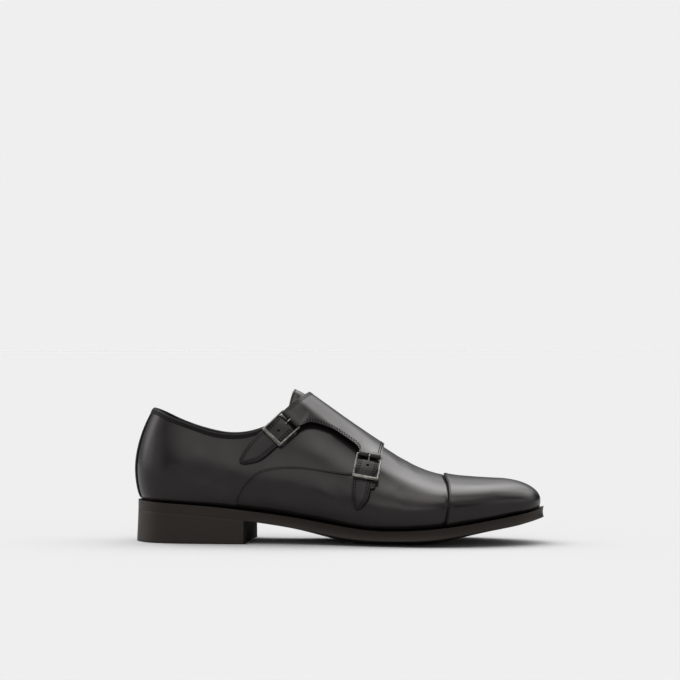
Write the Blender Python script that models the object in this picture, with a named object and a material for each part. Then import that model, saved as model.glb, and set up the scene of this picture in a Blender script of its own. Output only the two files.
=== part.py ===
"""A right-foot leather shoe with a toe cap, a flap over the instep and two buckled straps.

Stations are millimetres forward of the back of the heel, heights are millimetres above the floor,
and girth runs over the last: 0 on the ridge, 1 at the lateral feather line, -1 at the medial one.
"""

import math

import bmesh
import bpy
import numpy as np
from mathutils import Matrix, Vector

MM = 0.001

# Driving dimensions, in millimetres.
SHOE_LENGTH = 302.1
WALL = 2.0
GAP = 0.3
HEEL_CENTRE = 42.0
TOE_CENTRE = 267.0
WIDEST_GIRTH = 0.8
HEEL_BREAST = 86.5
BREAST_HOLLOW = 1.5
INSOLE_THICKNESS = 2.5
INSOLE_GIRTH = 0.985
INSOLE_MARGIN = 1.7
FLAP_LIFT = 0.7
FLAP_THICKNESS = 2.0
TONGUE_THICKNESS = 1.6
TONGUE_CROWN = 2.1
TONGUE_OPEN_SHARE = 0.6
TONGUE_CROWN_GIRTH = 0.12
STRAP_THICKNESS = 1.8
STRAP_LIFT = 0.6
FRAME_THICKNESS = 1.6

# How finely each faceted surface is divided.
UPPER_STATIONS = 34
UPPER_LEVELS = 14
SOLE_STATIONS = 40
SOLE_LANES = 10
HEEL_STATIONS = 12

# The short steps that a surface's slope is taken over, and how near the form's ends they go.
STATION_STEP = 0.4
GIRTH_STEP = 0.01
END_MARGIN = 1.0

# Points nearer than this are one point, in metres, and edges sharper than this stay crisp.
WELD = 0.00002
CRISP_ANGLE = math.radians(35.0)

# The last: widest half-widths to each side, the height of that widest line, the height where the
# upper meets the sole, the ridge's height and sideways place, how far the section leans in above
# the widest line (1 is an ellipse), and how far it tucks in below it.
LAST_COLUMNS = ("station", "lateral", "medial", "widest", "seat", "ridge", "ridge_y", "lean", "tuck")
LAST = (
    (0.0, 0.0, 0.0, 53.0, 30.6, 132.0, 0.0, 1.9, 3.7),
    (12.0, 25.0, 25.0, 53.0, 30.2, 132.0, 0.0, 1.9, 3.7),
    (25.0, 31.0, 31.0, 52.5, 29.5, 132.0, 0.0, 1.9, 3.7),
    (42.0, 33.5, 32.5, 52.0, 28.5, 132.0, 0.0, 2.0, 3.7),
    (75.0, 33.5, 31.5, 47.0, 25.7, 131.0, 0.0, 2.3, 4.5),
    (100.0, 34.5, 30.0, 42.5, 22.7, 124.3, 1.0, 2.2, 6.0),
    (125.0, 36.5, 30.0, 38.0, 19.3, 110.4, 2.5, 1.9, 6.5),
    (150.0, 40.0, 32.5, 33.0, 15.2, 92.6, 4.5, 1.7, 5.5),
    (175.0, 44.5, 37.5, 28.5, 11.9, 75.4, 6.0, 1.6, 4.0),
    (200.0, 47.0, 42.5, 26.5, 11.4, 59.8, 6.0, 1.45, 3.2),
    (222.0, 46.5, 44.0, 27.0, 12.7, 50.6, 4.5, 1.3, 2.8),
    (245.0, 42.3, 41.5, 28.7, 15.6, 48.0, 2.5, 1.15, 2.5),
    (267.0, 34.3, 34.5, 30.3, 19.3, 46.9, 1.0, 1.0, 2.2),
    (285.0, 23.6, 24.8, 31.1, 22.4, 46.9, 1.0, 1.0, 1.8),
    (296.0, 12.4, 13.4, 31.3, 24.2, 46.9, 1.0, 1.0, 1.3),
    (300.1, 0.0, 0.0, 31.3, 24.6, 46.9, 1.0, 1.0, 1.0),
)

# The collar's height at each station, on both sides of the ankle.
COLLAR_COLUMNS = ("station", "lateral", "medial")
COLLAR = (
    (0.0, 98.2, 98.2),
    (13.0, 96.4, 94.0),
    (25.0, 93.0, 89.6),
    (42.0, 88.1, 84.2),
    (58.0, 82.8, 80.1),
    (75.0, 80.2, 79.3),
    (90.0, 81.8, 82.8),
    (103.0, 87.6, 89.6),
)

# The throat, in girth to each side, running forward from the collar to its end on the ridge.
THROAT_COLUMNS = ("station", "lateral", "medial")
THROAT = (
    (118.0, 0.36, 0.33),
    (132.0, 0.24, 0.22),
    (146.0, 0.12, 0.11),
)
THROAT_END = 157.0

# The sole: half-widths, height of its top, depth of its edge, and how far its middle swells below
# the edge. The swell is ground off flat where it would pass below the floor.
SOLE_COLUMNS = ("station", "lateral", "medial", "top", "edge", "swell")
SOLE = (
    (1.6, 0.0, 0.0, 30.3, 7.0, 0.0),
    (12.0, 23.5, 23.5, 29.9, 7.0, 0.0),
    (25.0, 30.0, 30.0, 29.2, 7.0, 0.0),
    (42.0, 32.6, 31.8, 28.2, 7.0, 0.0),
    (75.0, 33.0, 30.0, 25.4, 7.2, 0.0),
    (100.0, 32.5, 26.8, 22.4, 7.4, 1.6),
    (125.0, 34.0, 26.5, 19.0, 7.5, 2.8),
    (150.0, 38.5, 30.0, 14.9, 7.9, 4.6),
    (175.0, 44.0, 37.5, 11.6, 7.2, 5.2),
    (200.0, 48.5, 44.0, 11.1, 6.8, 5.2),
    (222.0, 49.0, 46.5, 12.4, 7.2, 5.2),
    (245.0, 45.3, 44.5, 15.3, 6.7, 4.0),
    (267.0, 36.9, 37.2, 19.0, 6.6, 2.8),
    (285.0, 26.6, 27.9, 22.1, 7.0, 1.6),
    (296.0, 15.8, 17.2, 24.0, 7.0, 0.6),
    (302.1, 0.0, 0.0, 25.0, 6.8, 0.0),
)
HEEL_FLARE = 1.0
HEEL_HALF_WIDTH = 33.0

# The flap's rows, from its back edge to its front edge: where each row starts at the lower edge,
# crosses the ridge, and ends on the medial side. Heights are for the lower edge.
FLAP_COLUMNS = ("run", "station", "height", "ridge_station", "medial_station", "medial_girth")
FLAP = (
    (0.00, 114.4, 95.2, 128.0, 116.0, -0.36),
    (0.16, 125.3, 85.2, 132.5, 125.0, -0.40),
    (0.24, 131.0, 87.3, 137.0, 132.0, -0.42),
    (0.36, 138.0, 86.0, 142.5, 140.0, -0.43),
    (0.48, 146.0, 82.3, 149.5, 148.0, -0.43),
    (0.60, 154.0, 77.8, 157.0, 156.5, -0.42),
    (0.72, 163.3, 71.0, 165.0, 165.0, -0.41),
    (0.80, 168.8, 64.3, 170.0, 169.5, -0.40),
    (0.84, 172.0, 63.4, 172.5, 172.0, -0.39),
    (1.00, 183.9, 61.0, 183.4, 182.0, -0.35),
)
FLAP_ALONG = 25
FLAP_ACROSS = 14

# The tongue's rows, from its free top edge to its root: half-girths to each side, and how far the
# leather sinks towards the foot at its free edge.
TONGUE_COLUMNS = ("station", "lateral", "medial", "sink")
TONGUE = (
    (119.3, 0.34, 0.40, 1.0),
    (123.0, 0.37, 0.41, 0.2),
    (132.0, 0.40, 0.42, 0.0),
    (150.0, 0.34, 0.36, 0.0),
    (170.0, 0.24, 0.26, 0.0),
)
TONGUE_BOW = 3.5
TONGUE_ALONG = 14
TONGUE_ACROSS = 14

# The buckles: the side-view place of each frame's middle, the heading of its strap there
# (degrees, 0 forward and 90 up), the frame's length along the strap and its width across it, the
# height of its middle plane off the upper, and the strap's length beyond the frame.
BUCKLE_COLUMNS = ("station", "height", "heading", "length", "width", "lift", "tail")
BUCKLES = {
    "back": (111.9, 82.7, 223.4, 21.5, 19.0, 4.5, 29.0),
    "front": (175.1, 54.3, 262.5, 22.0, 19.0, 4.4, 28.0),
}
END_BAR = 2.4
SIDE_BAR = 1.4
FRAME_BEVEL = 0.3
STRAP_MARGIN = 0.7
STRAP_BULGE = 1.0
STRAP_ALONG = 20
STRAP_ACROSS = 6
TAIL_FULLNESS = 2.2
FOLD_BORE = 1.2
FOLD_RADIUS = 1.9
FOLD_MARGIN = 0.5
SLOT_WIDTH = 1.7
SLOT_BEHIND = 0.35
PRONG_RADIUS = 0.45
PRONG_LENGTH = 6.0
PRONG_STEPS = 10
STRAP_SETBACK = 1.2


def columns(names, rows):
    """The table's rows as a dictionary of named arrays."""
    return {name: np.array(column, float) for name, column in zip(names, zip(*rows))}


def smooth_through(knots, values):
    """A natural cubic curve through the values at the knots, as a function of the knot variable."""
    steps = np.diff(knots)
    count = len(knots)
    matrix = np.zeros((count, count))
    right = np.zeros(count)
    matrix[0, 0] = matrix[-1, -1] = 1.0
    for i in range(1, count - 1):
        matrix[i, i - 1 : i + 2] = steps[i - 1], 2 * (steps[i - 1] + steps[i]), steps[i]
        right[i] = 6 * ((values[i + 1] - values[i]) / steps[i] - (values[i] - values[i - 1]) / steps[i - 1])
    bends = np.linalg.solve(matrix, right)

    def curve(at):
        at = min(max(at, knots[0]), knots[-1])
        i = min(int(np.searchsorted(knots, at, side="right")) - 1, count - 2)
        step = steps[i]
        after = (at - knots[i]) / step
        before = 1.0 - after
        bend = (before**3 - before) * bends[i] + (after**3 - after) * bends[i + 1]
        return float(before * values[i] + after * values[i + 1] + bend * step * step / 6)

    return curve


def curves(names, rows, rounded=()):
    """A smooth curve for each column against the first; rounded columns close with a round end."""
    table = columns(names, rows)
    knots = table[names[0]]
    found = {}
    for name in names[1:]:
        values = table[name] ** 2 if name in rounded else table[name]
        found[name] = smooth_through(knots, values)
    return found


last = curves(LAST_COLUMNS, LAST, rounded=("lateral", "medial"))
sole = curves(SOLE_COLUMNS, SOLE, rounded=("lateral", "medial"))
flap = curves(FLAP_COLUMNS, FLAP)
tongue = curves(TONGUE_COLUMNS, TONGUE)


def half_width(form, station, side):
    """The half-width of the last or the sole, on the lateral (+1) or medial (-1) side."""
    squared = form["lateral" if side > 0 else "medial"](station)
    return math.sqrt(max(squared, 0.0))


def ray(station, side):
    """The ridge point and the widest point that a section of the last runs between."""
    centre = min(max(station, HEEL_CENTRE), TOE_CENTRE)
    ridge = Vector((centre, last["ridge_y"](centre), last["ridge"](centre)))
    widest = Vector((station, -side * half_width(last, station, side), last["widest"](station)))
    return ridge, widest


def last_surface(station, girth):
    """A point on the outside of the upper."""
    side = 1.0 if girth >= 0 else -1.0
    ridge, widest = ray(station, side)
    outward = Vector((widest.x - ridge.x, widest.y - ridge.y, 0.0))
    level = abs(girth) / WIDEST_GIRTH
    if level <= 1.0:
        rise = math.sin(math.pi / 2 * (1.0 - level))
        lean = last["lean"](station)
        reach = math.sqrt(max((1.0 - rise) * (1.0 + rise - (lean - 1.0) * rise * rise), 0.0))
        height = widest.z + (ridge.z - widest.z) * rise
        return Vector((ridge.x + outward.x * reach, ridge.y + outward.y * reach, height))
    drop = min((level - 1.0) * WIDEST_GIRTH / (1.0 - WIDEST_GIRTH), 1.0)
    inset = outward.normalized() * last["tuck"](station) * drop * drop
    height = widest.z + (last["seat"](station) - widest.z) * drop
    return Vector((widest.x - inset.x, widest.y - inset.y, height))


def last_normal(station, girth):
    """The outward direction there, from two short steps over the surface."""
    along = min(max(station, END_MARGIN), LAST[-1][0] - END_MARGIN)
    over = min(max(girth, GIRTH_STEP - 1.0), 1.0 - GIRTH_STEP)
    if station > TOE_CENTRE - END_MARGIN:
        over = math.copysign(max(abs(over), 2 * GIRTH_STEP), girth)
    lengthways = last_surface(along + STATION_STEP, over) - last_surface(along - STATION_STEP, over)
    girthways = last_surface(along, over + GIRTH_STEP) - last_surface(along, over - GIRTH_STEP)
    return girthways.cross(lengthways).normalized()


def over_last(station, girth, outset):
    """A point held off the last's surface by a distance."""
    return last_surface(station, girth) + last_normal(station, girth) * outset


def girth_at(station, height, side=1.0):
    """The girth at which the section stands at a height."""
    ridge, widest = ray(station, side)
    if height < widest.z:
        drop = min((widest.z - height) / (widest.z - last["seat"](station)), 1.0)
        return side * (WIDEST_GIRTH + (1.0 - WIDEST_GIRTH) * drop)
    rise = min((height - widest.z) / (ridge.z - widest.z), 1.0)
    return side * WIDEST_GIRTH * (1.0 - math.asin(rise) * 2 / math.pi)


def rim_curve(side):
    """The girth of the upper's open edge: the collar, then the throat up to the ridge."""
    name = "lateral" if side > 0 else "medial"
    collar = columns(COLLAR_COLUMNS, COLLAR)
    throat = columns(THROAT_COLUMNS, THROAT)
    knots = [*collar["station"], *throat["station"], THROAT_END]
    heights = zip(collar["station"], collar[name])
    girths = [abs(girth_at(station, height, side)) for station, height in heights]
    return smooth_through(np.array(knots), np.array([*girths, *throat[name], 0.0]))


rims = {1.0: rim_curve(1.0), -1.0: rim_curve(-1.0)}


def rim(station, side):
    """The girth at which the upper ends above, 0 where its two sides meet on the ridge."""
    if station >= THROAT_END:
        return 0.0
    return max(rims[side](station), 0.0)


def eased_stations(start, end, count):
    """Stations that crowd towards the round ends of a form."""
    turns = [math.pi * i / count for i in range(count + 1)]
    middle, half = (start + end) / 2, (end - start) / 2
    return [middle - half * math.cos(turn) for turn in turns]


def sole_offset():
    """How far the last's centre line lies from the middle of the sole's width."""
    stations = eased_stations(SOLE[0][0], SOLE[-1][0], SOLE_STATIONS)
    lateral = max(half_width(sole, station, 1.0) for station in stations)
    medial = max(half_width(sole, station, -1.0) for station in stations)
    return (lateral - medial) / 2


shoe_middle = Vector((SHOE_LENGTH / 2, -sole_offset(), 0.0))


def to_world(point):
    """Millimetres from the heel's back and the last's centre line to metres from the shoe's middle."""
    return (point - shoe_middle) * MM


def make_object(name, builder, material):
    """Make the object of a finished mesh, outward-facing, with its round places shaded smooth."""
    bmesh.ops.recalc_face_normals(builder, faces=builder.faces)
    mesh = bpy.data.meshes.new(name)
    builder.to_mesh(mesh)
    builder.free()
    mesh.shade_smooth()
    mesh.set_sharp_from_angle(angle=CRISP_ANGLE)
    piece = bpy.data.objects.new(name, mesh)
    piece.data.materials.append(material)
    bpy.context.scene.collection.objects.link(piece)
    return piece


def finish_mesh(name, builder, material):
    """Put a piece modelled in the shoe's own millimetres in the world, with its round ends closed."""
    for vertex in builder.verts:
        vertex.co = to_world(vertex.co)
    bmesh.ops.remove_doubles(builder, verts=builder.verts, dist=WELD)
    bmesh.ops.dissolve_degenerate(builder, dist=WELD / 2, edges=builder.edges)
    return make_object(name, builder, material)


def plain_material(name, colour, roughness, metallic=0.0):
    """A finish with one colour."""
    material = bpy.data.materials.new(name)
    material.use_nodes = True
    shader = material.node_tree.nodes["Principled BSDF"]
    shader.inputs["Base Color"].default_value = (*colour, 1.0)
    shader.inputs["Roughness"].default_value = roughness
    shader.inputs["Metallic"].default_value = metallic
    return material


def sheet(along, across, place):
    """A grid whose points, counted along and across, are put where place(i, j) says."""
    builder = bmesh.new()
    bmesh.ops.create_grid(builder, x_segments=along, y_segments=across, size=0.5)
    for vertex in builder.verts:
        i = round((vertex.co.x + 0.5) * along)
        j = round((vertex.co.y + 0.5) * across)
        vertex.co = place(i, j)
    return builder


def slab(along, across, upper_side, under_side):
    """A closed solid between two grids that share their outline."""
    builder = bmesh.new()
    bmesh.ops.create_grid(builder, x_segments=along, y_segments=across, size=0.5)
    grown = bmesh.ops.extrude_face_region(builder, geom=builder.faces[:])
    raised = {item for item in grown["geom"] if isinstance(item, bmesh.types.BMVert)}
    for vertex in builder.verts:
        i = round((vertex.co.x + 0.5) * along)
        j = round((vertex.co.y + 0.5) * across)
        vertex.co = upper_side(i, j) if vertex in raised else under_side(i, j)
    return builder


def make_upper(material):
    """The hollow upper: one sheet round the last, given its wall inwards."""
    stations = eased_stations(0.0, LAST[-1][0], UPPER_STATIONS)
    ring = [(station, 1.0) for station in stations]
    ring += [(station, -1.0) for station in reversed(stations)]

    def place(i, j):
        station, side = ring[i]
        top = rim(station, side)
        girth = 1.0 + (top - 1.0) * j / UPPER_LEVELS
        return last_surface(station, side * girth)

    builder = sheet(len(ring) - 1, UPPER_LEVELS, place)
    piece = finish_mesh("upper", builder, material)
    wall = piece.modifiers.new("wall", "SOLIDIFY")
    wall.thickness = WALL * MM
    wall.offset = -1.0
    wall.use_quality_normals = True
    return piece


def sole_bottom(station, across):
    """The height of the sole's underside, across from -1 (medial) to 1 (lateral)."""
    swell = sole["swell"](station) * (1.0 - across * across)
    return max(sole["top"](station) - sole["edge"](station) - swell, 0.0)


def sole_across(station, across, inset=0.0):
    """The sideways place of a point of the sole."""
    side = 1.0 if across >= 0 else -1.0
    width = half_width(sole, station, side)
    return -across * max(width - inset, 0.0)


def make_outsole(material):
    """The outsole with its swelled, ground underside."""
    stations = eased_stations(SOLE[0][0], SOLE[-1][0], SOLE_STATIONS)

    def lane(j):
        return 2.0 * j / SOLE_LANES - 1.0

    def top(i, j):
        return Vector((stations[i], sole_across(stations[i], lane(j)), sole["top"](stations[i])))

    def bottom(i, j):
        station, across = stations[i], lane(j)
        return Vector((station, sole_across(station, across), sole_bottom(station, across)))

    return finish_mesh("outsole", slab(SOLE_STATIONS, SOLE_LANES, top, bottom), material)


def make_heel(material):
    """The heel block under the seat, with its breast hollowed a little."""
    start = SOLE[0][0]

    def place(i, j, on_floor):
        across = 2.0 * j / SOLE_LANES - 1.0
        side = 1.0 if across >= 0 else -1.0
        front = HEEL_BREAST - BREAST_HOLLOW * (1.0 - across * across)
        back_share = math.cos(math.pi / 2 * i / HEEL_STATIONS)
        station = front - (front - start) * back_share
        width = half_width(sole, station, side)
        if on_floor:
            flared = 1.0 + HEEL_FLARE / HEEL_HALF_WIDTH
            return Vector((station - HEEL_FLARE * back_share, -across * width * flared, 0.0))
        return Vector((station, -across * width, sole_bottom(station, across) - GAP))

    def top(i, j):
        return place(i, j, on_floor=False)

    def bottom(i, j):
        return place(i, j, on_floor=True)

    return finish_mesh("heel_block", slab(HEEL_STATIONS, SOLE_LANES, top, bottom), material)


def make_insole(material):
    """The insole, lying inside the upper's wall on the outsole."""
    stations = eased_stations(0.0, LAST[-1][0], SOLE_STATIONS)

    def inner_edge(station, side):
        edge = over_last(station, side * INSOLE_GIRTH, -(WALL + INSOLE_MARGIN))
        width = half_width(last, station, side)
        return Vector((edge.x, edge.y if width > 0 else 0.0, 0.0))

    def place(i, j, lift):
        station = stations[i]
        at = inner_edge(station, -1.0).lerp(inner_edge(station, 1.0), j / SOLE_LANES)
        return Vector((at.x, at.y, sole["top"](at.x) + lift))

    def top(i, j):
        return place(i, j, GAP + INSOLE_THICKNESS)

    def bottom(i, j):
        return place(i, j, GAP)

    return finish_mesh("insole", slab(SOLE_STATIONS, SOLE_LANES, top, bottom), material)


def flap_row(run, over):
    """The station and girth of a point of the flap; over runs from the lower edge to the medial one."""
    lower_station = flap["station"](run)
    lower_girth = girth_at(lower_station, flap["height"](run))
    medial_girth = flap["medial_girth"](run)
    girths = np.array([medial_girth, 0.0, lower_girth])
    stations = np.array([flap["medial_station"](run), flap["ridge_station"](run), lower_station])
    girth = lower_girth + (medial_girth - lower_girth) * over
    return smooth_through(girths, stations)(girth), girth


def make_flap(material):
    """The flap over the instep, standing off the upper."""

    def place(i, j, outset):
        station, girth = flap_row(i / FLAP_ALONG, j / FLAP_ACROSS)
        return over_last(station, girth, outset)

    def top(i, j):
        return place(i, j, FLAP_LIFT + FLAP_THICKNESS)

    def bottom(i, j):
        return place(i, j, FLAP_LIFT)

    return finish_mesh("instep_flap", slab(FLAP_ALONG, FLAP_ACROSS, top, bottom), material)


def make_tongue(material):
    """The tongue behind the throat, raised in its middle towards the flap."""
    start, end = TONGUE[0][0], TONGUE[-1][0]

    def place(i, j, depth):
        run = i / TONGUE_ALONG
        over = 2.0 * j / TONGUE_ACROSS - 1.0
        station = start + (end - start) * run - TONGUE_BOW * over * over * (1.0 - run) ** 2
        reach = tongue["lateral" if over >= 0 else "medial"](station)
        girth = over * reach
        edge = rim(station, 1.0 if girth >= 0 else -1.0)
        inside = min(abs(girth) / max(TONGUE_OPEN_SHARE * edge, 0.001), 1.0)
        crown = TONGUE_CROWN * (1.0 - inside * inside) * min(edge / TONGUE_CROWN_GIRTH, 1.0)
        return over_last(station, girth, crown - WALL - 4 * GAP - tongue["sink"](station) - depth)

    def top(i, j):
        return place(i, j, 0.0)

    def bottom(i, j):
        return place(i, j, TONGUE_THICKNESS)

    return finish_mesh("tongue", slab(TONGUE_ALONG, TONGUE_ACROSS, top, bottom), material)


class Buckle:
    """The place and sizes of one buckle: its axes run along the strap, across it and outwards."""

    def __init__(self, row):
        self.station, self.height, heading, self.length, self.width, self.lift, self.tail = row
        girth = girth_at(self.station, self.height)
        self.middle = last_surface(self.station, girth)
        self.outward = last_normal(self.station, girth)
        turn = math.radians(heading)
        flat = Vector((math.cos(turn), 0.0, math.sin(turn)))
        depth = -(flat.x * self.outward.x + flat.z * self.outward.z) / self.outward.y
        self.along = Vector((flat.x, depth, flat.z)).normalized()
        self.across = self.outward.cross(self.along)

    def over_upper(self, along, across, outset):
        """A point held off the upper, straight over a point of the buckle's own plane."""
        flat = self.middle + self.along * along + self.across * across
        return over_last(flat.x, girth_at(flat.x, flat.z), outset)

    def pose(self, along=0.0, outward=0.0):
        """The matrix that stands a piece, modelled in metres, in the frame's plane."""
        turned = Matrix((self.along, self.across, self.outward)).transposed().to_4x4()
        place = self.middle + self.along * along + self.outward * (self.lift + outward)
        return Matrix.Translation(to_world(place)) @ turned


def posed(name, builder, material, pose):
    """Make an object of a piece modelled round its own origin, in millimetres."""
    bmesh.ops.scale(builder, vec=(MM, MM, MM), verts=builder.verts)
    piece = make_object(name, builder, material)
    piece.matrix_world = pose
    return piece


def cut(piece, cutter, operation="DIFFERENCE"):
    """Cut a piece with another object, which is then left out of the model."""
    cutter.hide_render = True
    cutter.display_type = "WIRE"
    boolean = piece.modifiers.new(operation.lower(), "BOOLEAN")
    boolean.operation = operation
    boolean.object = cutter
    boolean.solver = "EXACT"


def block(length, width, height, middle=(0.0, 0.0, 0.0)):
    """A box of that size about its middle."""
    builder = bmesh.new()
    bmesh.ops.create_cube(builder, size=1.0)
    bmesh.ops.scale(builder, vec=(length, width, height), verts=builder.verts)
    bmesh.ops.translate(builder, vec=middle, verts=builder.verts)
    return builder


def rod(radius, length, segments):
    """A round rod along the across axis."""
    builder = bmesh.new()
    sizes = {"radius1": radius, "radius2": radius, "depth": length}
    bmesh.ops.create_cone(builder, cap_ends=True, segments=segments, **sizes)
    bmesh.ops.rotate(builder, matrix=Matrix.Rotation(math.pi / 2, 3, "X"), verts=builder.verts)
    return builder


def make_frame(name, buckle, material):
    """The metal frame: a bar at each end and one at each side."""
    frame = posed(name, block(buckle.length, buckle.width, FRAME_THICKNESS), material, buckle.pose())
    window_length = buckle.length - END_BAR - SIDE_BAR
    shift = (SIDE_BAR - END_BAR) / 2
    window = block(window_length, buckle.width - 2 * SIDE_BAR, 3 * FRAME_THICKNESS, (shift, 0.0, 0.0))
    cut(frame, posed(name + "_window", window, material, buckle.pose()))
    edges = frame.modifiers.new("worn_edges", "BEVEL")
    edges.width = FRAME_BEVEL * MM
    edges.segments = 2
    return frame


def make_fold(name, buckle, material):
    """The leather folded round the frame's hinge bar, slotted for the prong."""
    hinge = (SIDE_BAR - buckle.length) / 2
    pose = buckle.pose(along=hinge)
    inside = buckle.width - 2 * SIDE_BAR
    fold = posed(name, rod(FOLD_RADIUS, inside - 2 * FOLD_MARGIN, 20), material, pose)
    cut(fold, posed(name + "_bore", rod(FOLD_BORE, inside + FOLD_RADIUS, 16), material, pose))
    slot = block(4 * FOLD_RADIUS, SLOT_WIDTH, 4 * FOLD_RADIUS, (2 * FOLD_RADIUS - SLOT_BEHIND, 0.0, 0.0))
    cut(fold, posed(name + "_slot", slot, material, pose))
    return fold


def make_prong(name, buckle, material):
    """The prong: a hook over the hinge bar and a pin that points along the strap."""
    hinge = (SIDE_BAR - buckle.length) / 2
    pose = buckle.pose(along=hinge)
    hook = bmesh.new()
    bmesh.ops.create_circle(hook, segments=8, radius=PRONG_RADIUS, cap_ends=True)
    bmesh.ops.rotate(hook, matrix=Matrix.Rotation(math.pi / 2, 3, "Y"), verts=hook.verts)
    bmesh.ops.translate(hook, vec=(0.0, 0.0, FOLD_BORE + PRONG_RADIUS), verts=hook.verts)
    turn = {"cent": (0.0, 0.0, 0.0), "axis": (0.0, 1.0, 0.0), "angle": math.pi, "steps": PRONG_STEPS}
    bmesh.ops.spin(hook, geom=hook.verts[:] + hook.edges[:] + hook.faces[:], **turn)
    prong = posed(name, hook, material, pose)
    pin = rod(PRONG_RADIUS, PRONG_LENGTH, 8)
    bmesh.ops.rotate(pin, matrix=Matrix.Rotation(math.pi / 2, 3, "Z"), verts=pin.verts)
    reach = FOLD_BORE + PRONG_RADIUS + PRONG_LENGTH / 2
    bmesh.ops.translate(pin, vec=(reach, 0.0, 0.0), verts=pin.verts)
    cut(prong, posed(name + "_pin", pin, material, pose), "UNION")
    return prong


def make_strap(name, buckle, material):
    """The strap under the frame, from the fold to its pointed end."""
    start = (SIDE_BAR - buckle.length) / 2 + STRAP_SETBACK
    straight = buckle.length / 2
    end = straight + buckle.tail
    half = buckle.width / 2 - SIDE_BAR - STRAP_MARGIN

    def place(i, j, outset):
        along = start + (end - start) * i / STRAP_ALONG
        past = max((along - straight) / buckle.tail, 0.0)
        breadth = half * (1.0 - past**TAIL_FULLNESS)
        window = min(max((along - start) / (straight - start), 0.0), 1.0)
        bulge = STRAP_BULGE * math.sin(math.pi * window) ** 2
        across = breadth * (2.0 * j / STRAP_ACROSS - 1.0)
        return buckle.over_upper(along, across, outset + bulge)

    def top(i, j):
        return place(i, j, STRAP_LIFT + STRAP_THICKNESS)

    def bottom(i, j):
        return place(i, j, STRAP_LIFT)

    return finish_mesh(name, slab(STRAP_ALONG, STRAP_ACROSS, top, bottom), material)


for old in list(bpy.data.objects):
    bpy.data.objects.remove(old)

leather = plain_material("black_leather", (0.025, 0.024, 0.025), 0.42)
lining = plain_material("lining_leather", (0.05, 0.045, 0.042), 0.7)
edge_dressing = plain_material("dressed_sole", (0.035, 0.026, 0.021), 0.5)
metal = plain_material("aged_metal", (0.32, 0.31, 0.28), 0.35, 1.0)

make_upper(leather)
make_outsole(edge_dressing)
make_heel(edge_dressing)
make_insole(lining)
make_flap(leather)
make_tongue(leather)
for place_name, buckle_row in BUCKLES.items():
    buckle = Buckle(buckle_row)
    make_frame(f"{place_name}_buckle_frame", buckle, metal)
    make_fold(f"{place_name}_buckle_fold", buckle, leather)
    make_prong(f"{place_name}_buckle_prong", buckle, metal)
    make_strap(f"{place_name}_strap", buckle, leather)
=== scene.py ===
import math

import bmesh
import bpy
import numpy as np
from mathutils import Matrix, Vector
from mathutils.kdtree import KDTree


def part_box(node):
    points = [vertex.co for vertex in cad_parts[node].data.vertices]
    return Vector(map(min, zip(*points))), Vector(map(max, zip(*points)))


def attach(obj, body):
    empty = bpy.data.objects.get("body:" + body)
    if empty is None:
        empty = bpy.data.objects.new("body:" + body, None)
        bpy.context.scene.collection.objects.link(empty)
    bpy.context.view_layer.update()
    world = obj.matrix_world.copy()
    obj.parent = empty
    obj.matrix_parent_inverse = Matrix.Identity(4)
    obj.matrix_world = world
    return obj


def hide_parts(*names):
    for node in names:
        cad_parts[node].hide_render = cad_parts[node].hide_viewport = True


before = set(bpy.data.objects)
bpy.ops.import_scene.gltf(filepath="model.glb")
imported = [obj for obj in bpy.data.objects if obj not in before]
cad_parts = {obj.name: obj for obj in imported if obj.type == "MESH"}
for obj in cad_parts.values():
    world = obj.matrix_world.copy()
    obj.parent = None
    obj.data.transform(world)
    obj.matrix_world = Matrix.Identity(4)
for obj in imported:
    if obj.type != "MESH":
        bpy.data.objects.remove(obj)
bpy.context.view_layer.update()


# Lining. A thin, matt black leather that covers the whole inside of the upper, cut to the last and
# turned in at the top edge. Everything on the upper is cut over the same last, so its form is here.

MM = 0.001
TINY = 0.001
SIDE_OFFSET = 1.37
HEEL_CENTRE = 42.0
TOE_CENTRE = 267.0
WIDEST_GIRTH = 0.8
FEATHER_TURN = 1.3
BACK_LEAN = 2.5
LEAN_FROM, LEAN_RISE, LEAN_LENGTH = 55.0, 43.0, 45.0

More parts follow.
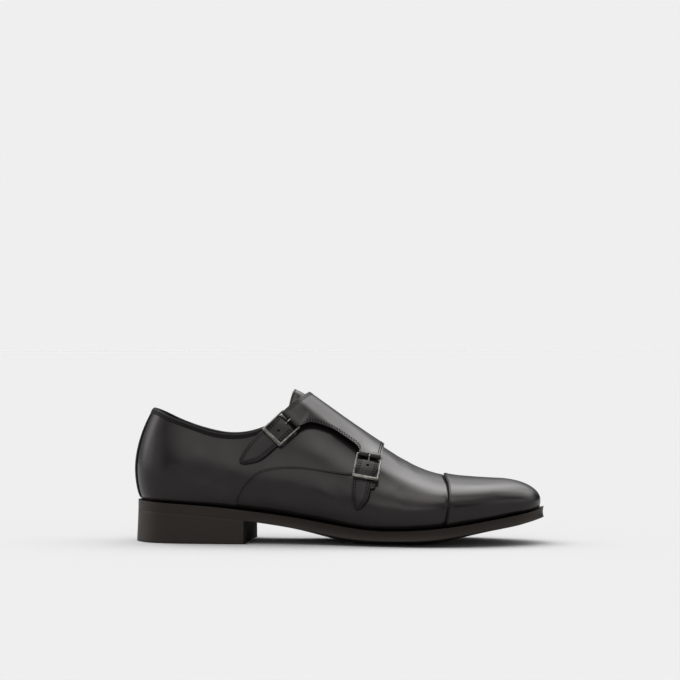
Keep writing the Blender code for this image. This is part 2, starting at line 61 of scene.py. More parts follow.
# Stations are millimetres from the back of the heel. Girth runs from 1 at the outer feather line
# over 0 on the ridge to -1 at the inner feather line.
LAST_COLUMNS = ("station", "lateral", "medial", "widest", "seat", "ridge", "ridge_y", "lean", "tuck")
LAST = (
    (0.0, 0.0, 0.0, 53.0, 30.6, 132.0, 0.0, 1.9, 3.7),
    (12.0, 25.0, 25.0, 53.0, 30.2, 132.0, 0.0, 1.9, 3.7),
    (25.0, 31.0, 31.0, 52.5, 29.5, 132.0, 0.0, 1.9, 3.7),
    (42.0, 33.5, 32.5, 52.0, 28.5, 132.0, 0.0, 2.0, 3.7),
    (75.0, 33.5, 31.5, 47.0, 25.7, 131.0, 0.0, 2.3, 4.5),
    (100.0, 34.5, 30.0, 42.5, 22.7, 124.3, 1.0, 2.2, 6.0),
    (125.0, 36.5, 30.0, 38.0, 19.3, 110.4, 2.5, 1.9, 6.5),
    (150.0, 40.0, 32.5, 33.0, 15.2, 92.6, 4.5, 1.7, 5.5),
    (175.0, 44.5, 37.5, 28.5, 11.9, 75.4, 6.0, 1.6, 4.0),
    (200.0, 47.0, 42.5, 26.5, 11.4, 59.8, 6.0, 1.45, 3.2),
    (222.0, 46.5, 44.0, 27.0, 12.7, 50.6, 4.5, 1.3, 2.8),
    (245.0, 42.3, 41.5, 28.7, 15.6, 48.0, 2.5, 1.15, 2.5),
    (267.0, 34.3, 34.5, 30.3, 19.3, 46.9, 1.0, 1.0, 2.2),
    (285.0, 23.6, 24.8, 31.1, 22.4, 46.9, 1.0, 1.0, 1.8),
    (296.0, 12.4, 13.4, 31.3, 24.2, 46.9, 1.0, 1.0, 1.3),
    (299.5, 0.0, 0.0, 31.5, 25.0, 46.9, 1.0, 1.0, 1.0),
)
TIP = LAST[-1][0]

# The open edge: the collar's height on each side, then the throat's girth up to the ridge.
COLLAR = (
    (0.0, 98.2, 98.2),
    (13.0, 96.4, 94.0),
    (25.0, 93.0, 89.6),
    (42.0, 88.1, 84.2),
    (58.0, 82.8, 80.1),
    (75.0, 80.2, 79.3),
    (90.0, 81.8, 82.8),
    (103.0, 87.6, 89.6),
)
THROAT = ((118.0, 0.36, 0.33), (132.0, 0.24, 0.22), (146.0, 0.12, 0.11), (157.0, 0.0, 0.0))

shoe_start = np.array((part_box("upper")[0].x / MM, SIDE_OFFSET, 0.0))


def smooth_through(knots, values):
    """A natural cubic curve through the values, as a function of arrays of the knot variable."""
    knots, values = np.array(knots, float), np.array(values, float)
    steps = np.diff(knots)
    count = len(knots)
    matrix = np.eye(count)
    right = np.zeros(count)
    for i in range(1, count - 1):
        matrix[i, i - 1 : i + 2] = steps[i - 1], 2 * (steps[i - 1] + steps[i]), steps[i]
        right[i] = 6 * ((values[i + 1] - values[i]) / steps[i] - (values[i] - values[i - 1]) / steps[i - 1])
    bends = np.linalg.solve(matrix, right)

    def curve(at):
        at = np.clip(at, knots[0], knots[-1])
        i = np.clip(np.searchsorted(knots, at, side="right") - 1, 0, count - 2)
        after = (at - knots[i]) / steps[i]
        before = 1.0 - after
        bend = (before**3 - before) * bends[i] + (after**3 - after) * bends[i + 1]
        return before * values[i] + after * values[i + 1] + bend * steps[i] ** 2 / 6

    return curve


def curves(names, rows, rounded=()):
    """A smooth curve for each column against the first; rounded columns close with a round end."""
    table = {name: np.array(column, float) for name, column in zip(names, zip(*rows))}
    knots = table[names[0]]
    return {n: smooth_through(knots, table[n] ** 2 if n in rounded else table[n]) for n in names[1:]}


last = curves(LAST_COLUMNS, LAST, rounded=("lateral", "medial"))


def within(share):
    """A share held between 0 and 1."""
    return np.clip(share, 0.0, 1.0)


def between(start, end, share):
    """What lies a share of the way from start to end."""
    return start + (end - start) * share


def hump(away, width):
    """A soft hump: 1 in its middle, gone a few widths away."""
    return np.exp(-((away / width) ** 2))


def half_width(form, station, lateral):
    """The half-width of the last or the sole, on the lateral side where asked, or the medial one."""
    wide = {side: np.sqrt(np.maximum(form[side](station), 0.0)) for side in ("lateral", "medial")}
    return np.where(lateral, wide["lateral"], wide["medial"])


def last_points(station, girth):
    """Points on the outside of the upper."""
    station, girth = np.broadcast_arrays(np.asarray(station, float), np.asarray(girth, float))
    centre = np.clip(station, HEEL_CENTRE, TOE_CENTRE)
    ridge_y, ridge_z = last["ridge_y"](centre), last["ridge"](centre)
    widest_y = half_width(last, station, girth >= 0) * np.where(girth >= 0, -1.0, 1.0)
    widest_z = last["widest"](station)
    out_x, out_y = station - centre, widest_y - ridge_y
    level = np.abs(girth) / WIDEST_GIRTH
    rise = np.sin(np.pi / 2 * (1.0 - np.minimum(level, 1.0)))
    lean = last["lean"](station)
    reach = np.sqrt(np.maximum((1.0 - rise) * (1.0 + rise - (lean - 1.0) * rise**2), 0.0))
    drop = within((level - 1.0) * WIDEST_GIRTH / (1.0 - WIDEST_GIRTH))
    turned_in = last["tuck"](station) * drop**2 + FEATHER_TURN * drop**10
    reach = reach - turned_in / np.maximum(np.hypot(out_x, out_y), TINY)
    height = between(widest_z, ridge_z, rise) + (last["seat"](station) - widest_z) * drop
    high = within((height - LEAN_FROM) / LEAN_RISE) ** 1.5
    leaned = BACK_LEAN * high * within(1.0 - station / LEAN_LENGTH) ** 2
    return np.stack((centre + out_x * reach + leaned, ridge_y + out_y * reach, height), -1)


STATION_STEP, GIRTH_STEP = 0.4, 0.01
RIDGE_GAP = 0.02


def last_normals(station, girth):
    """The outward directions there, from two short steps over the surface."""
    along = np.clip(station, 1.0, TIP - 1.0)
    over = np.clip(girth, GIRTH_STEP - 1.0, 1.0 - GIRTH_STEP)
    on_toe = along > TOE_CENTRE - 1.0
    over = np.where(on_toe, np.copysign(np.maximum(np.abs(over), RIDGE_GAP), over), over)
    lengthways = last_points(along + STATION_STEP, over) - last_points(along - STATION_STEP, over)
    girthways = last_points(along, over + GIRTH_STEP) - last_points(along, over - GIRTH_STEP)
    normal = np.cross(girthways, lengthways)
    normal[..., 1] *= np.sqrt(within(np.minimum(station, TIP - station)))
    return normal / np.linalg.norm(normal, axis=-1, keepdims=True)


# The soft ridges and troughs that wear and lasting leave in the leather: from one station and girth
# to another, then the half-width and the height in millimetres.
CREASES = (
    ((34.0, 0.80), (56.0, 0.82), 6.0, -0.30),
    ((56.0, 0.82), (70.0, 0.84), 6.0, -0.42),
    ((70.0, 0.84), (87.0, 0.86), 6.0, -0.36),
    ((52.0, 0.71), (80.0, 0.76), 7.0, 0.30),
    ((90.0, 0.85), (117.0, 0.83), 5.5, -0.34),
    ((117.0, 0.83), (142.0, 0.85), 6.0, -0.38),
    ((108.0, 0.92), (130.0, 0.95), 3.5, 0.18),
    ((150.0, 0.72), (166.0, 0.80), 5.0, -0.25),
    ((196.0, 0.60), (203.0, 0.80), 4.5, 0.28),
    ((205.0, 0.72), (231.0, 0.76), 5.5, -0.35),
    ((212.0, 0.80), (228.0, 0.80), 2.5, 0.15),
    ((186.0, 0.44), (229.0, 0.55), 7.0, 0.30),
    ((112.0, 0.60), (140.0, 0.56), 8.0, 0.28),
    ((52.0, -0.74), (84.0, -0.80), 7.0, -0.35),
    ((95.0, -0.80), (140.0, -0.82), 6.5, -0.35),
    ((184.0, -0.40), (200.0, -0.75), 5.0, 0.28),
    ((204.0, -0.62), (226.0, -0.70), 5.5, -0.32),
    ((126.0, 0.30), (149.0, 0.33), 4.5, 0.55),
    ((130.0, 0.14), (166.0, 0.20), 6.5, -0.35),
    ((190.0, -0.22), (199.0, 0.20), 4.0, -0.22),
    ((203.0, -0.25), (210.0, 0.18), 4.0, -0.20),
)


def over_last(station, girth, outset):
    """Points held off the last's surface by a distance, with the creases in it."""
    station, girth, outset = np.broadcast_arrays(station, girth, outset)
    points = last_points(station, girth)
    height = np.zeros(points.shape[:-1])
    for start, end, half, rise in CREASES:
        first, second = last_points(*start), last_points(*end)
        run = second - first
        share = within((points - first) @ run / (run @ run))
        away = np.linalg.norm(points - first - share[..., None] * run, axis=-1)
        height = height + rise * hump(away, half)
    return points + last_normals(station, girth) * (outset + height)[..., None]


def girth_at(station, height, side=1.0):
    """The girth at which the section stands at a height."""
    centre = np.clip(station, HEEL_CENTRE, TOE_CENTRE)
    widest, ridge = last["widest"](station), last["ridge"](centre)
    rise = within((height - widest) / (ridge - widest))
    drop = within((widest - height) / (widest - last["seat"](station)))
    return side * (WIDEST_GIRTH * (1.0 - np.arcsin(rise) * 2 / np.pi) + (1.0 - WIDEST_GIRTH) * drop)


def rim_curve(column, side):
    """The girth of the upper's open edge on one side."""
    collar = [(row[0], abs(float(girth_at(row[0], row[column], side)))) for row in COLLAR]
    throat = [(row[0], row[column]) for row in THROAT]
    curve = smooth_through(*zip(*collar, *throat))
    return lambda station: np.maximum(curve(station), 0.0)


rim = {1: rim_curve(1, 1.0), -1: rim_curve(2, -1.0)}


def make_piece(name, builder, material, slot, *nodes):
    """Make the piece of a finished bmesh in millimetres, and ride it on the shoe."""
    bmesh.ops.recalc_face_normals(builder, faces=builder.faces)
    for vertex in builder.verts:
        vertex.co = (Vector(shoe_start) + vertex.co) * MM
    mesh = bpy.data.meshes.new(name)
    builder.to_mesh(mesh)
    builder.free()
    mesh.shade_smooth()
    piece = bpy.data.objects.new(name, mesh)
    piece.data.materials.append(material)
    bpy.context.scene.collection.objects.link(piece)
    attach(piece, "root")
    if nodes:
        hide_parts(*nodes)
    return piece


def lay_grid(builder, columns, rows):
    """A grid's vertices with their u and v, each from 0 to 1."""
    made = bmesh.ops.create_grid(builder, x_segments=columns, y_segments=rows, size=0.5)["verts"]
    u, v = (np.array([vertex.co[axis] for vertex in made]) + 0.5 for axis in (0, 1))
    return made, u, v


def verts_in(geom):
    """The vertices among what an operator made."""
    return [item for item in geom if isinstance(item, bmesh.types.BMVert)]


def round_edges(piece, width, segments=3, angle=50):
    """Round a piece's crisp edges."""
    edges = piece.modifiers.new("rounded_edges", "BEVEL")
    edges.width = width * MM
    edges.segments = segments
    edges.limit_method = "ANGLE"
    edges.angle_limit = math.radians(angle)
    return edges


EDGE_ROUND = 0.35
FEATHER_PAINTED_SHADOW = 1.2
SEAM_JOIN = 0.02
EDGE_MARKS = 6
FAR_FROM_EDGE = 20.0
FAR_AWAY = (0.0, 0.0, 1000.0)


def sheet(
    name,
    patches,
    material,
    *nodes,
    slot="black_leather",
    round_edge=EDGE_ROUND,
    edge_lines=True,
):
    """A sheet of leather with a real thickness and rounded, inked edges, from one or more patches.

    A patch is its columns, its rows and its grain and flesh sides as a function of u and v. Each
    vertex keeps its distance from the sheet's edge or from just over the sole; the leather darkens
    near either, as ink on its edges and as painted shade.
    """
    builder = bmesh.new()
    under = builder.verts.layers.float_vector.new("under")
    from_edge = builder.verts.layers.float.new("from_edge")
    for columns, rows, place in patches:
        made, u, v = lay_grid(builder, columns, rows)
        for vertex, over, below in zip(made, *place(u, v)):
            vertex.co = over
            vertex[under] = below
    bmesh.ops.remove_doubles(builder, verts=builder.verts, dist=SEAM_JOIN)
    marks = [FAR_AWAY]
    for edge in builder.edges:
        if edge.is_boundary and edge_lines:
            start, end = (vertex.co for vertex in edge.verts)
            marks += [start.lerp(end, share / EDGE_MARKS) for share in range(EDGE_MARKS)]
    tree = KDTree(len(marks))
    for index, mark in enumerate(marks):
        tree.insert(mark, index)
    tree.balance()
    for vertex in builder.verts:
        # Painted shadow: the leather just over the sole darkens like an edge, for the shadow there.
        above_painted_shadow = max(vertex.co.z - last["seat"](vertex.co.x) - FEATHER_PAINTED_SHADOW, 0.0)
        near = min(tree.find(vertex.co)[2], FAR_FROM_EDGE)
        vertex[from_edge] = min(near, above_painted_shadow) if edge_lines else near
    grown = bmesh.ops.extrude_face_region(builder, geom=builder.faces[:])["geom"]
    grain_side = set(verts_in(grown))
    for vertex in builder.verts:
        if vertex not in grain_side:
            vertex.co = vertex[under]
    for face in builder.faces:
        face.material_index = int(len({vertex in grain_side for vertex in face.verts}) == 2)
    piece = make_piece(name, builder, material, slot, *nodes)
    piece.data.materials.append(edge_ink)
    round_edges(piece, round_edge).harden_normals = True
    return piece


def feed(tree, node, inputs):
    """Set each named input of a node to a value, or link another node's output to it."""
    for name, value in inputs.items():
        socket = node.inputs[name]
        if isinstance(value, bpy.types.NodeSocket):
            tree.links.new(value, socket)
        else:
            socket.default_value = (*value, 1.0) if socket.type == "RGBA" else value
    return node


def add_node(tree, kind, inputs):
    """A new node of a kind, with its inputs fed."""
    return feed(tree, tree.nodes.new(f"ShaderNode{kind}"), inputs)


def noise(tree, place, scale, detail):
    """Soft clouds of a size over a place."""
    return add_node(tree, "TexNoise", {"Vector": place, "Scale": scale, "Detail": detail}).outputs["Fac"]


def reckon(tree, operation, *values):
    """What a sum makes of values or outputs."""
    node = add_node(tree, "Math", dict(enumerate(values)))
    node.operation = operation
    return node.outputs[0]


def spread(tree, value, low, high, start=0.0, end=1.0):
    """A value from start to end, carried over to the range from low to high."""
    ranges = {"From Min": start, "From Max": end, "To Min": low, "To Max": high}
    return add_node(tree, "MapRange", {"Value": value, **ranges}).outputs["Result"]


def blend(tree, share, first, second, way="MIX", kind="RGBA"):
    """A mix or a product of two colours, or of two plain values."""
    node = tree.nodes.new("ShaderNodeMix")
    node.data_type = kind
    node.blend_type = way
    return feed(tree, node, {"Factor": share, "A": first, "B": second}).outputs["Result"]


def new_material(name, shine):
    """A new material with its nodes, its shader and the place on the shoe."""
    material = bpy.data.materials.new(name)
    material.use_nodes = True
    tree = material.node_tree
    shader = feed(tree, tree.nodes["Principled BSDF"], {"Specular IOR Level": shine})
    return material, tree, shader, tree.nodes.new("ShaderNodeTexCoord").outputs["Object"]


def cover(tree, shader, colour, roughness, relief, strength, depth=0.0001):
    """Give the shader its colour, its roughness and a fine relief."""
    bump = add_node(tree, "Bump", {"Strength": strength, "Distance": depth, "Height": relief})
    surface = {"Base Color": colour, "Roughness": roughness, "Normal": bump.outputs["Normal"]}
    feed(tree, shader, surface)


def edge_dressing():
    """Black ink brushed on cut edges: matt, and uneven where the fibres took it."""
    material, tree, shader, place = new_material("edge_ink", 0.05)
    fibres = noise(tree, place, 900.0, 4.0)
    dark_edge = blend(tree, fibres, (0.0008, 0.0008, 0.0008), (0.0025, 0.0023, 0.0022))
    cover(tree, shader, dark_edge, spread(tree, fibres, 0.5, 0.7), fibres, 0.2)
    return material


LEATHER_TINT = (1.0, 0.93, 0.92)
MOTTLE_SCALE, PORE_SCALE, WRINKLE_SCALE = 55.0, 1500.0, 420.0
INK_AND_PAINTED_SHADE, INK_AND_SHADE_FULL_AT, INK_AND_SHADE_FADE_AT = 0.2, 0.1, 1.3
LINE_DEPTH, LINE_WIDTH = -3.0, 0.35


def leather(name, colour, light, roughness, grain=1.0, shine=0.5, lines=()):
    """Smooth leather: mottled dye, fine pores, pressed lines, and edges darkened by ink and painted shade.
    """
    material, tree, shader, place = new_material(name, shine)
    feed(tree, shader, {"Specular Tint": LEATHER_TINT})
    mottle = noise(tree, place, MOTTLE_SCALE, 4.0)
    pores = add_node(tree, "TexVoronoi", {"Vector": place, "Scale": PORE_SCALE}).outputs["Distance"]
    edge = tree.nodes.new("ShaderNodeAttribute")
    edge.attribute_name = "from_edge"
    from_edge = edge.outputs["Fac"]
    # Painted shade: darker towards each edge and the sole line, as ink and as shadow at the seams.
    dark_edge = spread(tree, from_edge, INK_AND_PAINTED_SHADE, 1.0, INK_AND_SHADE_FULL_AT, INK_AND_SHADE_FADE_AT)
    inked_and_shaded = blend(tree, 1.0, blend(tree, mottle, colour, light), dark_edge, way="MULTIPLY")
    gloss = spread(tree, mottle, roughness - 0.04, roughness + 0.05, 0.3, 0.7)
    relief = reckon(tree, "MULTIPLY_ADD", pores, 0.5, noise(tree, place, WRINKLE_SCALE, 5.0))
    for distance in lines:
        away = reckon(tree, "ABSOLUTE", reckon(tree, "SUBTRACT", from_edge, distance))
        relief = reckon(tree, "ADD", relief, spread(tree, away, LINE_DEPTH, 0.0, end=LINE_WIDTH))
    cover(tree, shader, inked_and_shaded, gloss, relief, 0.12 * grain, 0.0002)
    return material


def on_last(station, girth, outset, thickness):
    """The two sides of a sheet of leather laid on the last."""
    surface = over_last(station, girth, outset)
    return surface, surface - last_normals(station, girth) * np.asarray(thickness)[..., None]


LINING_COLUMNS, LINING_ROWS = 110, 26
LINING_OUTSET, LINING_THICKNESS = -1.3, 0.7
LINING_DYE, WORN_LINING_DYE = (0.012, 0.011, 0.0105), (0.020, 0.018, 0.017)
edge_ink = edge_dressing()
lining_leather = leather("lining_leather", LINING_DYE, WORN_LINING_DYE, 0.62, grain=1.6, shine=0.2)


def along_last(u):
    """Stations from the heel to the tip, closer at both ends."""
    return TIP / 2 * (1.0 - np.cos(np.pi * u))


def lining(side):
    """One half of the lining, from the open edge down to the insole."""

    def place(u, v):
        station = along_last(u)
        girth = between(1.0, rim[side](station), v)
        return on_last(station, side * girth, LINING_OUTSET, LINING_THICKNESS)

    return place


sheet(
    "lining",
    [(LINING_COLUMNS, LINING_ROWS, lining(side)) for side in (1, -1)],
    lining_leather,
    slot="lining_leather",
    edge_lines=False,
)


# Insole. A stiff board under a leather sock that lies on the sole and runs into the lining at its
# edge. It is all that shows of the floor of the shoe.

SOLE_COLUMNS = ("station", "lateral", "medial", "top", "edge", "swell")
SOLE = (
    (1.6, 0.0, 0.0, 30.3, 7.0, 0.0),
    (12.0, 23.5, 23.5, 29.9, 7.0, 0.0),
    (25.0, 30.0, 30.0, 29.2, 7.0, 0.0),
    (42.0, 32.6, 31.8, 28.2, 7.0, 0.0),
    (75.0, 33.0, 30.0, 25.4, 7.2, 0.0),
    (100.0, 32.5, 26.8, 22.4, 7.4, 1.6),
    (125.0, 34.0, 26.5, 19.0, 7.5, 2.8),
    (150.0, 38.5, 30.0, 14.9, 7.9, 4.6),
    (175.0, 44.0, 37.5, 11.6, 7.2, 5.2),
    (200.0, 48.5, 44.0, 11.1, 6.8, 5.2),
    (222.0, 49.0, 46.5, 12.4, 7.2, 5.2),
    (245.0, 45.3, 44.5, 15.3, 6.7, 4.0),
    (267.0, 36.9, 37.2, 19.0, 6.6, 2.8),
    (285.0, 26.6, 27.9, 22.1, 7.0, 1.6),
    (296.0, 15.8, 17.2, 24.6, 7.0, 0.6),
    (302.5, 0.0, 0.0, 26.8, 7.4, 0.0),
)
INSOLE_TOP, INSOLE_BOTTOM = 2.8, 0.3
INSOLE_DISH = 0.8
INSOLE_GRID = (90, 24)
SOCK_EDGE, BOARD_EDGE = (0.943, -1.8), (0.985, -3.5)
sole = curves(SOLE_COLUMNS, SOLE, rounded=("lateral", "medial"))


def insole(u, v):
    """The sock's top and the board's underside, each drawn straight across between its edges."""
    station = along_last(u)
    sides = []
    for girth, outset in (SOCK_EDGE, BOARD_EDGE):
        near, far = over_last(station, girth, outset), over_last(station, -girth, outset)
        sides.append(between(near, far, v[:, None]))
    top, bottom = sides
    top[:, 2] = sole["top"](top[:, 0]) + INSOLE_TOP + INSOLE_DISH * (2.0 * v - 1.0) ** 4
    bottom[:, 2] = sole["top"](bottom[:, 0]) + INSOLE_BOTTOM
    return top, bottom


sheet(
    "sock_and_insole",
    [(*INSOLE_GRID, insole)],
    lining_leather,
    "insole",
    slot="lining_leather",
    edge_lines=False,
)


# Outsole. One leather sole from heel to toe, its edge trimmed to a slight hollow between two fine
# lips, dyed dark brown and burnished. Its swelled underside is ground flat where it treads.

SOLE_START, SOLE_END = SOLE[0][0], SOLE[-1][0]
SOLE_STATIONS, SOLE_LANES, SOLE_ROWS = 110, 24, 12
LIP = 0.16
EDGE_HOLLOW = 0.7
LIP_WIDTH = 0.55
EDGE_FLUSH, EDGE_FADE = 84.0, 40.0
EDGE_TURN_STEP = 0.01
SKIN_JOIN = 0.004


def sole_outline(turn):
    """The sole's outline: a turn of 0 to pi runs up the lateral side, pi to 2 pi back down."""
    station = between(SOLE_START, SOLE_END, (1.0 - np.cos(turn)) / 2)
    lateral = np.sin(turn) >= 0
    width = half_width(sole, station, lateral)
    return np.stack((station, np.where(lateral, -width, width)), -1)


def sole_lane(u, v):
    """The plan place of a point of the sole, v across from the lateral edge to the medial one."""
    return between(sole_outline(np.pi * u), sole_outline(2 * np.pi - np.pi * u), v[:, None])


def sole_top(u, v):
    plan = sole_lane(u, v)
    return np.column_stack((plan, sole["top"](plan[:, 0])))


def sole_bottom(u, v):
    plan = sole_lane(u, v)
    swell = sole["swell"](plan[:, 0]) * (1.0 - (2.0 * v - 1.0) ** 2)
    edge = sole["top"](plan[:, 0]) - sole["edge"](plan[:, 0])
    return np.column_stack((plan, np.maximum(edge - swell, 0.0)))


def edge_profile(share, depth):
    """How far the sole's edge stands out, down its depth: a lip, a hollow and a lip."""
    near = np.minimum(share, 1.0 - share) * depth
    rise = within(near / LIP_WIDTH)
    lip = LIP * np.sin(np.pi * rise)
    return lip - EDGE_HOLLOW * np.sin(np.pi * share) ** 0.8 * rise


def sole_edge(u, v):
    turn = 2 * np.pi * u
    plan = sole_outline(turn)
    step = sole_outline(turn + EDGE_TURN_STEP) - sole_outline(turn - EDGE_TURN_STEP)
    normal = np.column_stack((step[:, 1], -step[:, 0])) / np.linalg.norm(step, axis=1)[:, None]
    depth = sole["edge"](plan[:, 0])
    trimmed = within((plan[:, 0] - EDGE_FLUSH) / EDGE_FADE)
    out = plan + normal * (trimmed * edge_profile(v, depth))[:, None]
    top = sole["top"](plan[:, 0])
    return np.column_stack((out, between(top, np.maximum(top - depth, 0.0), v)))


def closed_piece(name, patches, material, node, width, angle):
    """A solid piece of sole leather, closed by patches of one skin each, its crisp edges eased."""
    builder = bmesh.new()
    for columns, rows, place in patches:
        made, u, v = lay_grid(builder, columns, rows)
        for vertex, point in zip(made, place(u, v)):
            vertex.co = point
    bmesh.ops.remove_doubles(builder, verts=builder.verts, dist=SKIN_JOIN)
    round_edges(make_piece(name, builder, material, "dressed_sole", node), width, 2, angle)


SOLE_TINT = (1.0, 0.90, 0.85)
LAYER_SCALE, PATCH_SCALE = (18.0, 18.0, 900.0), 45.0
DYE, RUBBED_DYE, BREAST_PAINTED_SHADE = (0.0050, 0.0037, 0.0028), (0.0110, 0.0084, 0.0066), (0.001, 0.001, 0.001)
DYE_ROUGHNESS = 0.46
PAINTED_SHADE_FADE = 0.3
NOWHERE = SOLE_END + 10.0


def dressed_edge(name, painted_shade_from):
    """Dyed, burnished sole leather in layers and rubbed patches; past a station, painted shade."""
    material, tree, shader, place = new_material(name, 0.22)
    feed(tree, shader, {"Specular Tint": SOLE_TINT})
    flat = add_node(tree, "Mapping", {"Vector": place, "Scale": LAYER_SCALE})
    layers = noise(tree, flat.outputs["Vector"], 1.0, 3.0)
    patches = noise(tree, place, PATCH_SCALE, 6.0)
    rubbed = reckon(tree, "MULTIPLY_ADD", layers, 0.45, reckon(tree, "MULTIPLY", patches, 0.55))
    ahead = add_node(tree, "SeparateXYZ", {"Vector": place}).outputs["X"]
    start, end = ((station + shoe_start[0]) * MM for station in (painted_shade_from, painted_shade_from + PAINTED_SHADE_FADE))
    # Painted shade: past this station the colour goes near black and matt, for the arch's shadow.
    painted_shade = spread(tree, ahead, 0.0, 1.0, start, end)
    colour = blend(tree, painted_shade, blend(tree, rubbed, DYE, RUBBED_DYE), BREAST_PAINTED_SHADE)
    gloss = spread(tree, patches, DYE_ROUGHNESS - 0.08, DYE_ROUGHNESS + 0.12)
    dull = blend(tree, painted_shade, gloss, 1.0, kind="FLOAT")
    cover(tree, shader, colour, dull, layers, 0.18, 0.0002)
    return material


closed_piece(
    "outsole_leather",
    [
        (SOLE_STATIONS, SOLE_LANES, sole_top),
        (SOLE_STATIONS, SOLE_LANES, sole_bottom),
        (2 * SOLE_STATIONS, SOLE_ROWS, sole_edge),
    ],
    dressed_edge("dressed_sole", NOWHERE),
    "outsole",
    width=0.6,
    angle=55,
)


# Heel block. A stack of leather lifts, nailed under the seat, sanded flush with the sole's edge and
# dyed with it, so that the two read as one. Its front face is a little hollow, left matt and painted
# near black as the shade that falls under the arch.

HEEL_BREAST = 86.5
BREAST_HOLLOW = 1.5
HEEL_FLARE = 1.0
HEEL_HALF_WIDTH = 33.0
HEEL_STATIONS, HEEL_ROWS = 60, 14
HEEL_EDGE = 0.4
HEEL_JOINT = 0.05


def heel_plan(u, v, depth):
    """The plan of the heel at a depth from 0 at the seat to 1 on the floor."""
    across = 1.0 - 2.0 * v
    front = HEEL_BREAST - BREAST_HOLLOW * (1.0 - across**2)
    back_share = np.cos(np.pi / 2 * u)
    station = front - (front - SOLE_START) * back_share
    width = half_width(sole, station, across >= 0) * (1.0 + depth * HEEL_FLARE / HEEL_HALF_WIDTH)
    return np.column_stack((station - HEEL_FLARE * depth * back_share, -across * width))


def heel_seat_height(plan):
    return sole["top"](plan[:, 0]) - sole["edge"](plan[:, 0]) - HEEL_JOINT


def heel_top(u, v):
    plan = heel_plan(u, v, 0.0)
    return np.column_stack((plan, heel_seat_height(plan)))


def heel_bottom(u, v):
    return np.column_stack((heel_plan(u, v, 1.0), np.zeros(len(u))))


def heel_wall(u, across, down):
    """A wall of the heel, from its seat down to the floor."""
    top, low = heel_plan(u, across, 0.0), heel_plan(u, across, 1.0)
    height = heel_seat_height(top) * (1.0 - down)
    return np.column_stack((between(top, low, down[:, None]), height))


closed_piece(
    "heel_lifts",
    [
        (HEEL_STATIONS, SOLE_LANES, heel_top),
        (HEEL_STATIONS, SOLE_LANES, heel_bottom),
        (HEEL_STATIONS, HEEL_ROWS, lambda u, v: heel_wall(u, 0.0, v)),
        (HEEL_STATIONS, HEEL_ROWS, lambda u, v: heel_wall(u, 1.0, v)),
        (SOLE_LANES, HEEL_ROWS, lambda u, v: heel_wall(1.0, u, v)),
    ],
    dressed_edge("dressed_heel", HEEL_BREAST - BREAST_HOLLOW - PAINTED_SHADE_FADE),
    "heel_block",
    width=HEEL_EDGE,
    angle=60,
)


# Vamp. The front of the upper, one piece of smooth black calf drawn over the ball of the foot. Its
# back edge is sewn under the quarters, its front edge under the toe cap, whose seam pulls it down.

VAMP_COLUMNS, VAMP_ROWS = 110, 120
VAMP_THICKNESS = 1.2
CAP_DIP, CAP_DIP_LENGTH = 0.9, 1.5

# The lines that the toe cap and the quarters make over it, as pairs of girth and station.
CAP_LINE = (
    ((0.0, 228.6), (0.164, 230.6), (0.355, 233.6), (0.518, 235.1))
    + ((0.642, 235.4), (0.758, 235.0), (0.876, 234.0), (1.0, 232.2))
)
SEAM_LINE = (
    ((0.0, 181.0), (0.12, 180.8), (0.28, 179.5), (0.40, 177.0), (0.50, 173.0), (0.597, 165.2))
    + ((0.621, 154.9), (0.652, 138.9), (0.674, 126.2), (0.706, 111.1), (0.731, 101.5))
    + ((0.759, 94.3), (0.797, 88.8), (0.852, 84.7), (0.926, 81.3), (1.0, 79.0))
)
cap_line, seam_line = (smooth_through(*zip(*line)) for line in (CAP_LINE, SEAM_LINE))
CALF, WORN_CALF = (0.0045, 0.0040, 0.0040), (0.0085, 0.0076, 0.0076)
CALF_GLOSS = {"roughness": 0.23, "shine": 0.27}
EDGE_LINE = 1.2
UNDER_QUARTER, UNDER_CAP = 16.0, 6.0
calf = leather("black_calf", CALF, WORN_CALF, **CALF_GLOSS)
sewn_calf = leather("sewn_calf", CALF, WORN_CALF, **CALF_GLOSS, lines=(EDGE_LINE,))


def vamp(u, v):
    girth = 2.0 * u - 1.0
    seam, cap = seam_line(np.abs(girth)), cap_line(np.abs(girth))
    station = between(seam - UNDER_QUARTER, cap + UNDER_CAP, v)
    return on_last(station, girth, -CAP_DIP * hump(station - cap, CAP_DIP_LENGTH), VAMP_THICKNESS)


sheet("vamp", [(VAMP_COLUMNS, VAMP_ROWS, vamp)], calf, "upper")


# Toe cap. A second layer of the same calf over the toe, its back edge skived, turned under and
# sewn to the vamp. It stands a little proud, and a stiff puff keeps it smooth.

CAP_COLUMNS, CAP_ROWS = 130, 70
CAP_THICKNESS = 1.3
CAP_OUTSET = 0.55
CAP_STEP = 0.7
CAP_STEP_LENGTH = 9.0


def toe_cap(u, v):
    girth = 2.0 * u - 1.0
    back = cap_line(np.abs(girth))
    station = between(back, TIP, np.sin(np.pi / 2 * v))
    outset = CAP_OUTSET + CAP_STEP * hump(station - back, CAP_STEP_LENGTH)
    return on_last(station, girth, outset, CAP_THICKNESS)


sheet("toe_cap", [(CAP_COLUMNS, CAP_ROWS, toe_cap)], calf, "upper", round_edge=0.5)


# Buckles. Each frame hangs on a fold of the flap and lies over a strap. Their places are worked out
# here, because the flap's two tabs, the folds, frames, prongs and straps all follow them. A frame's
# own axes run along the strap, across it and outwards.

BUCKLE_COLUMNS = ("station", "height", "heading", "length", "width", "lift")
BUCKLE_PLACES = {
    "back": (111.9, 82.7, 223.4, 21.5, 19.0, 4.5),
    "front": (175.1, 54.3, 262.5, 22.0, 19.0, 4.4),
}
SIDE_BAR = 1.35
END_BAR = 2.7
FRAME_THICKNESS = 1.5


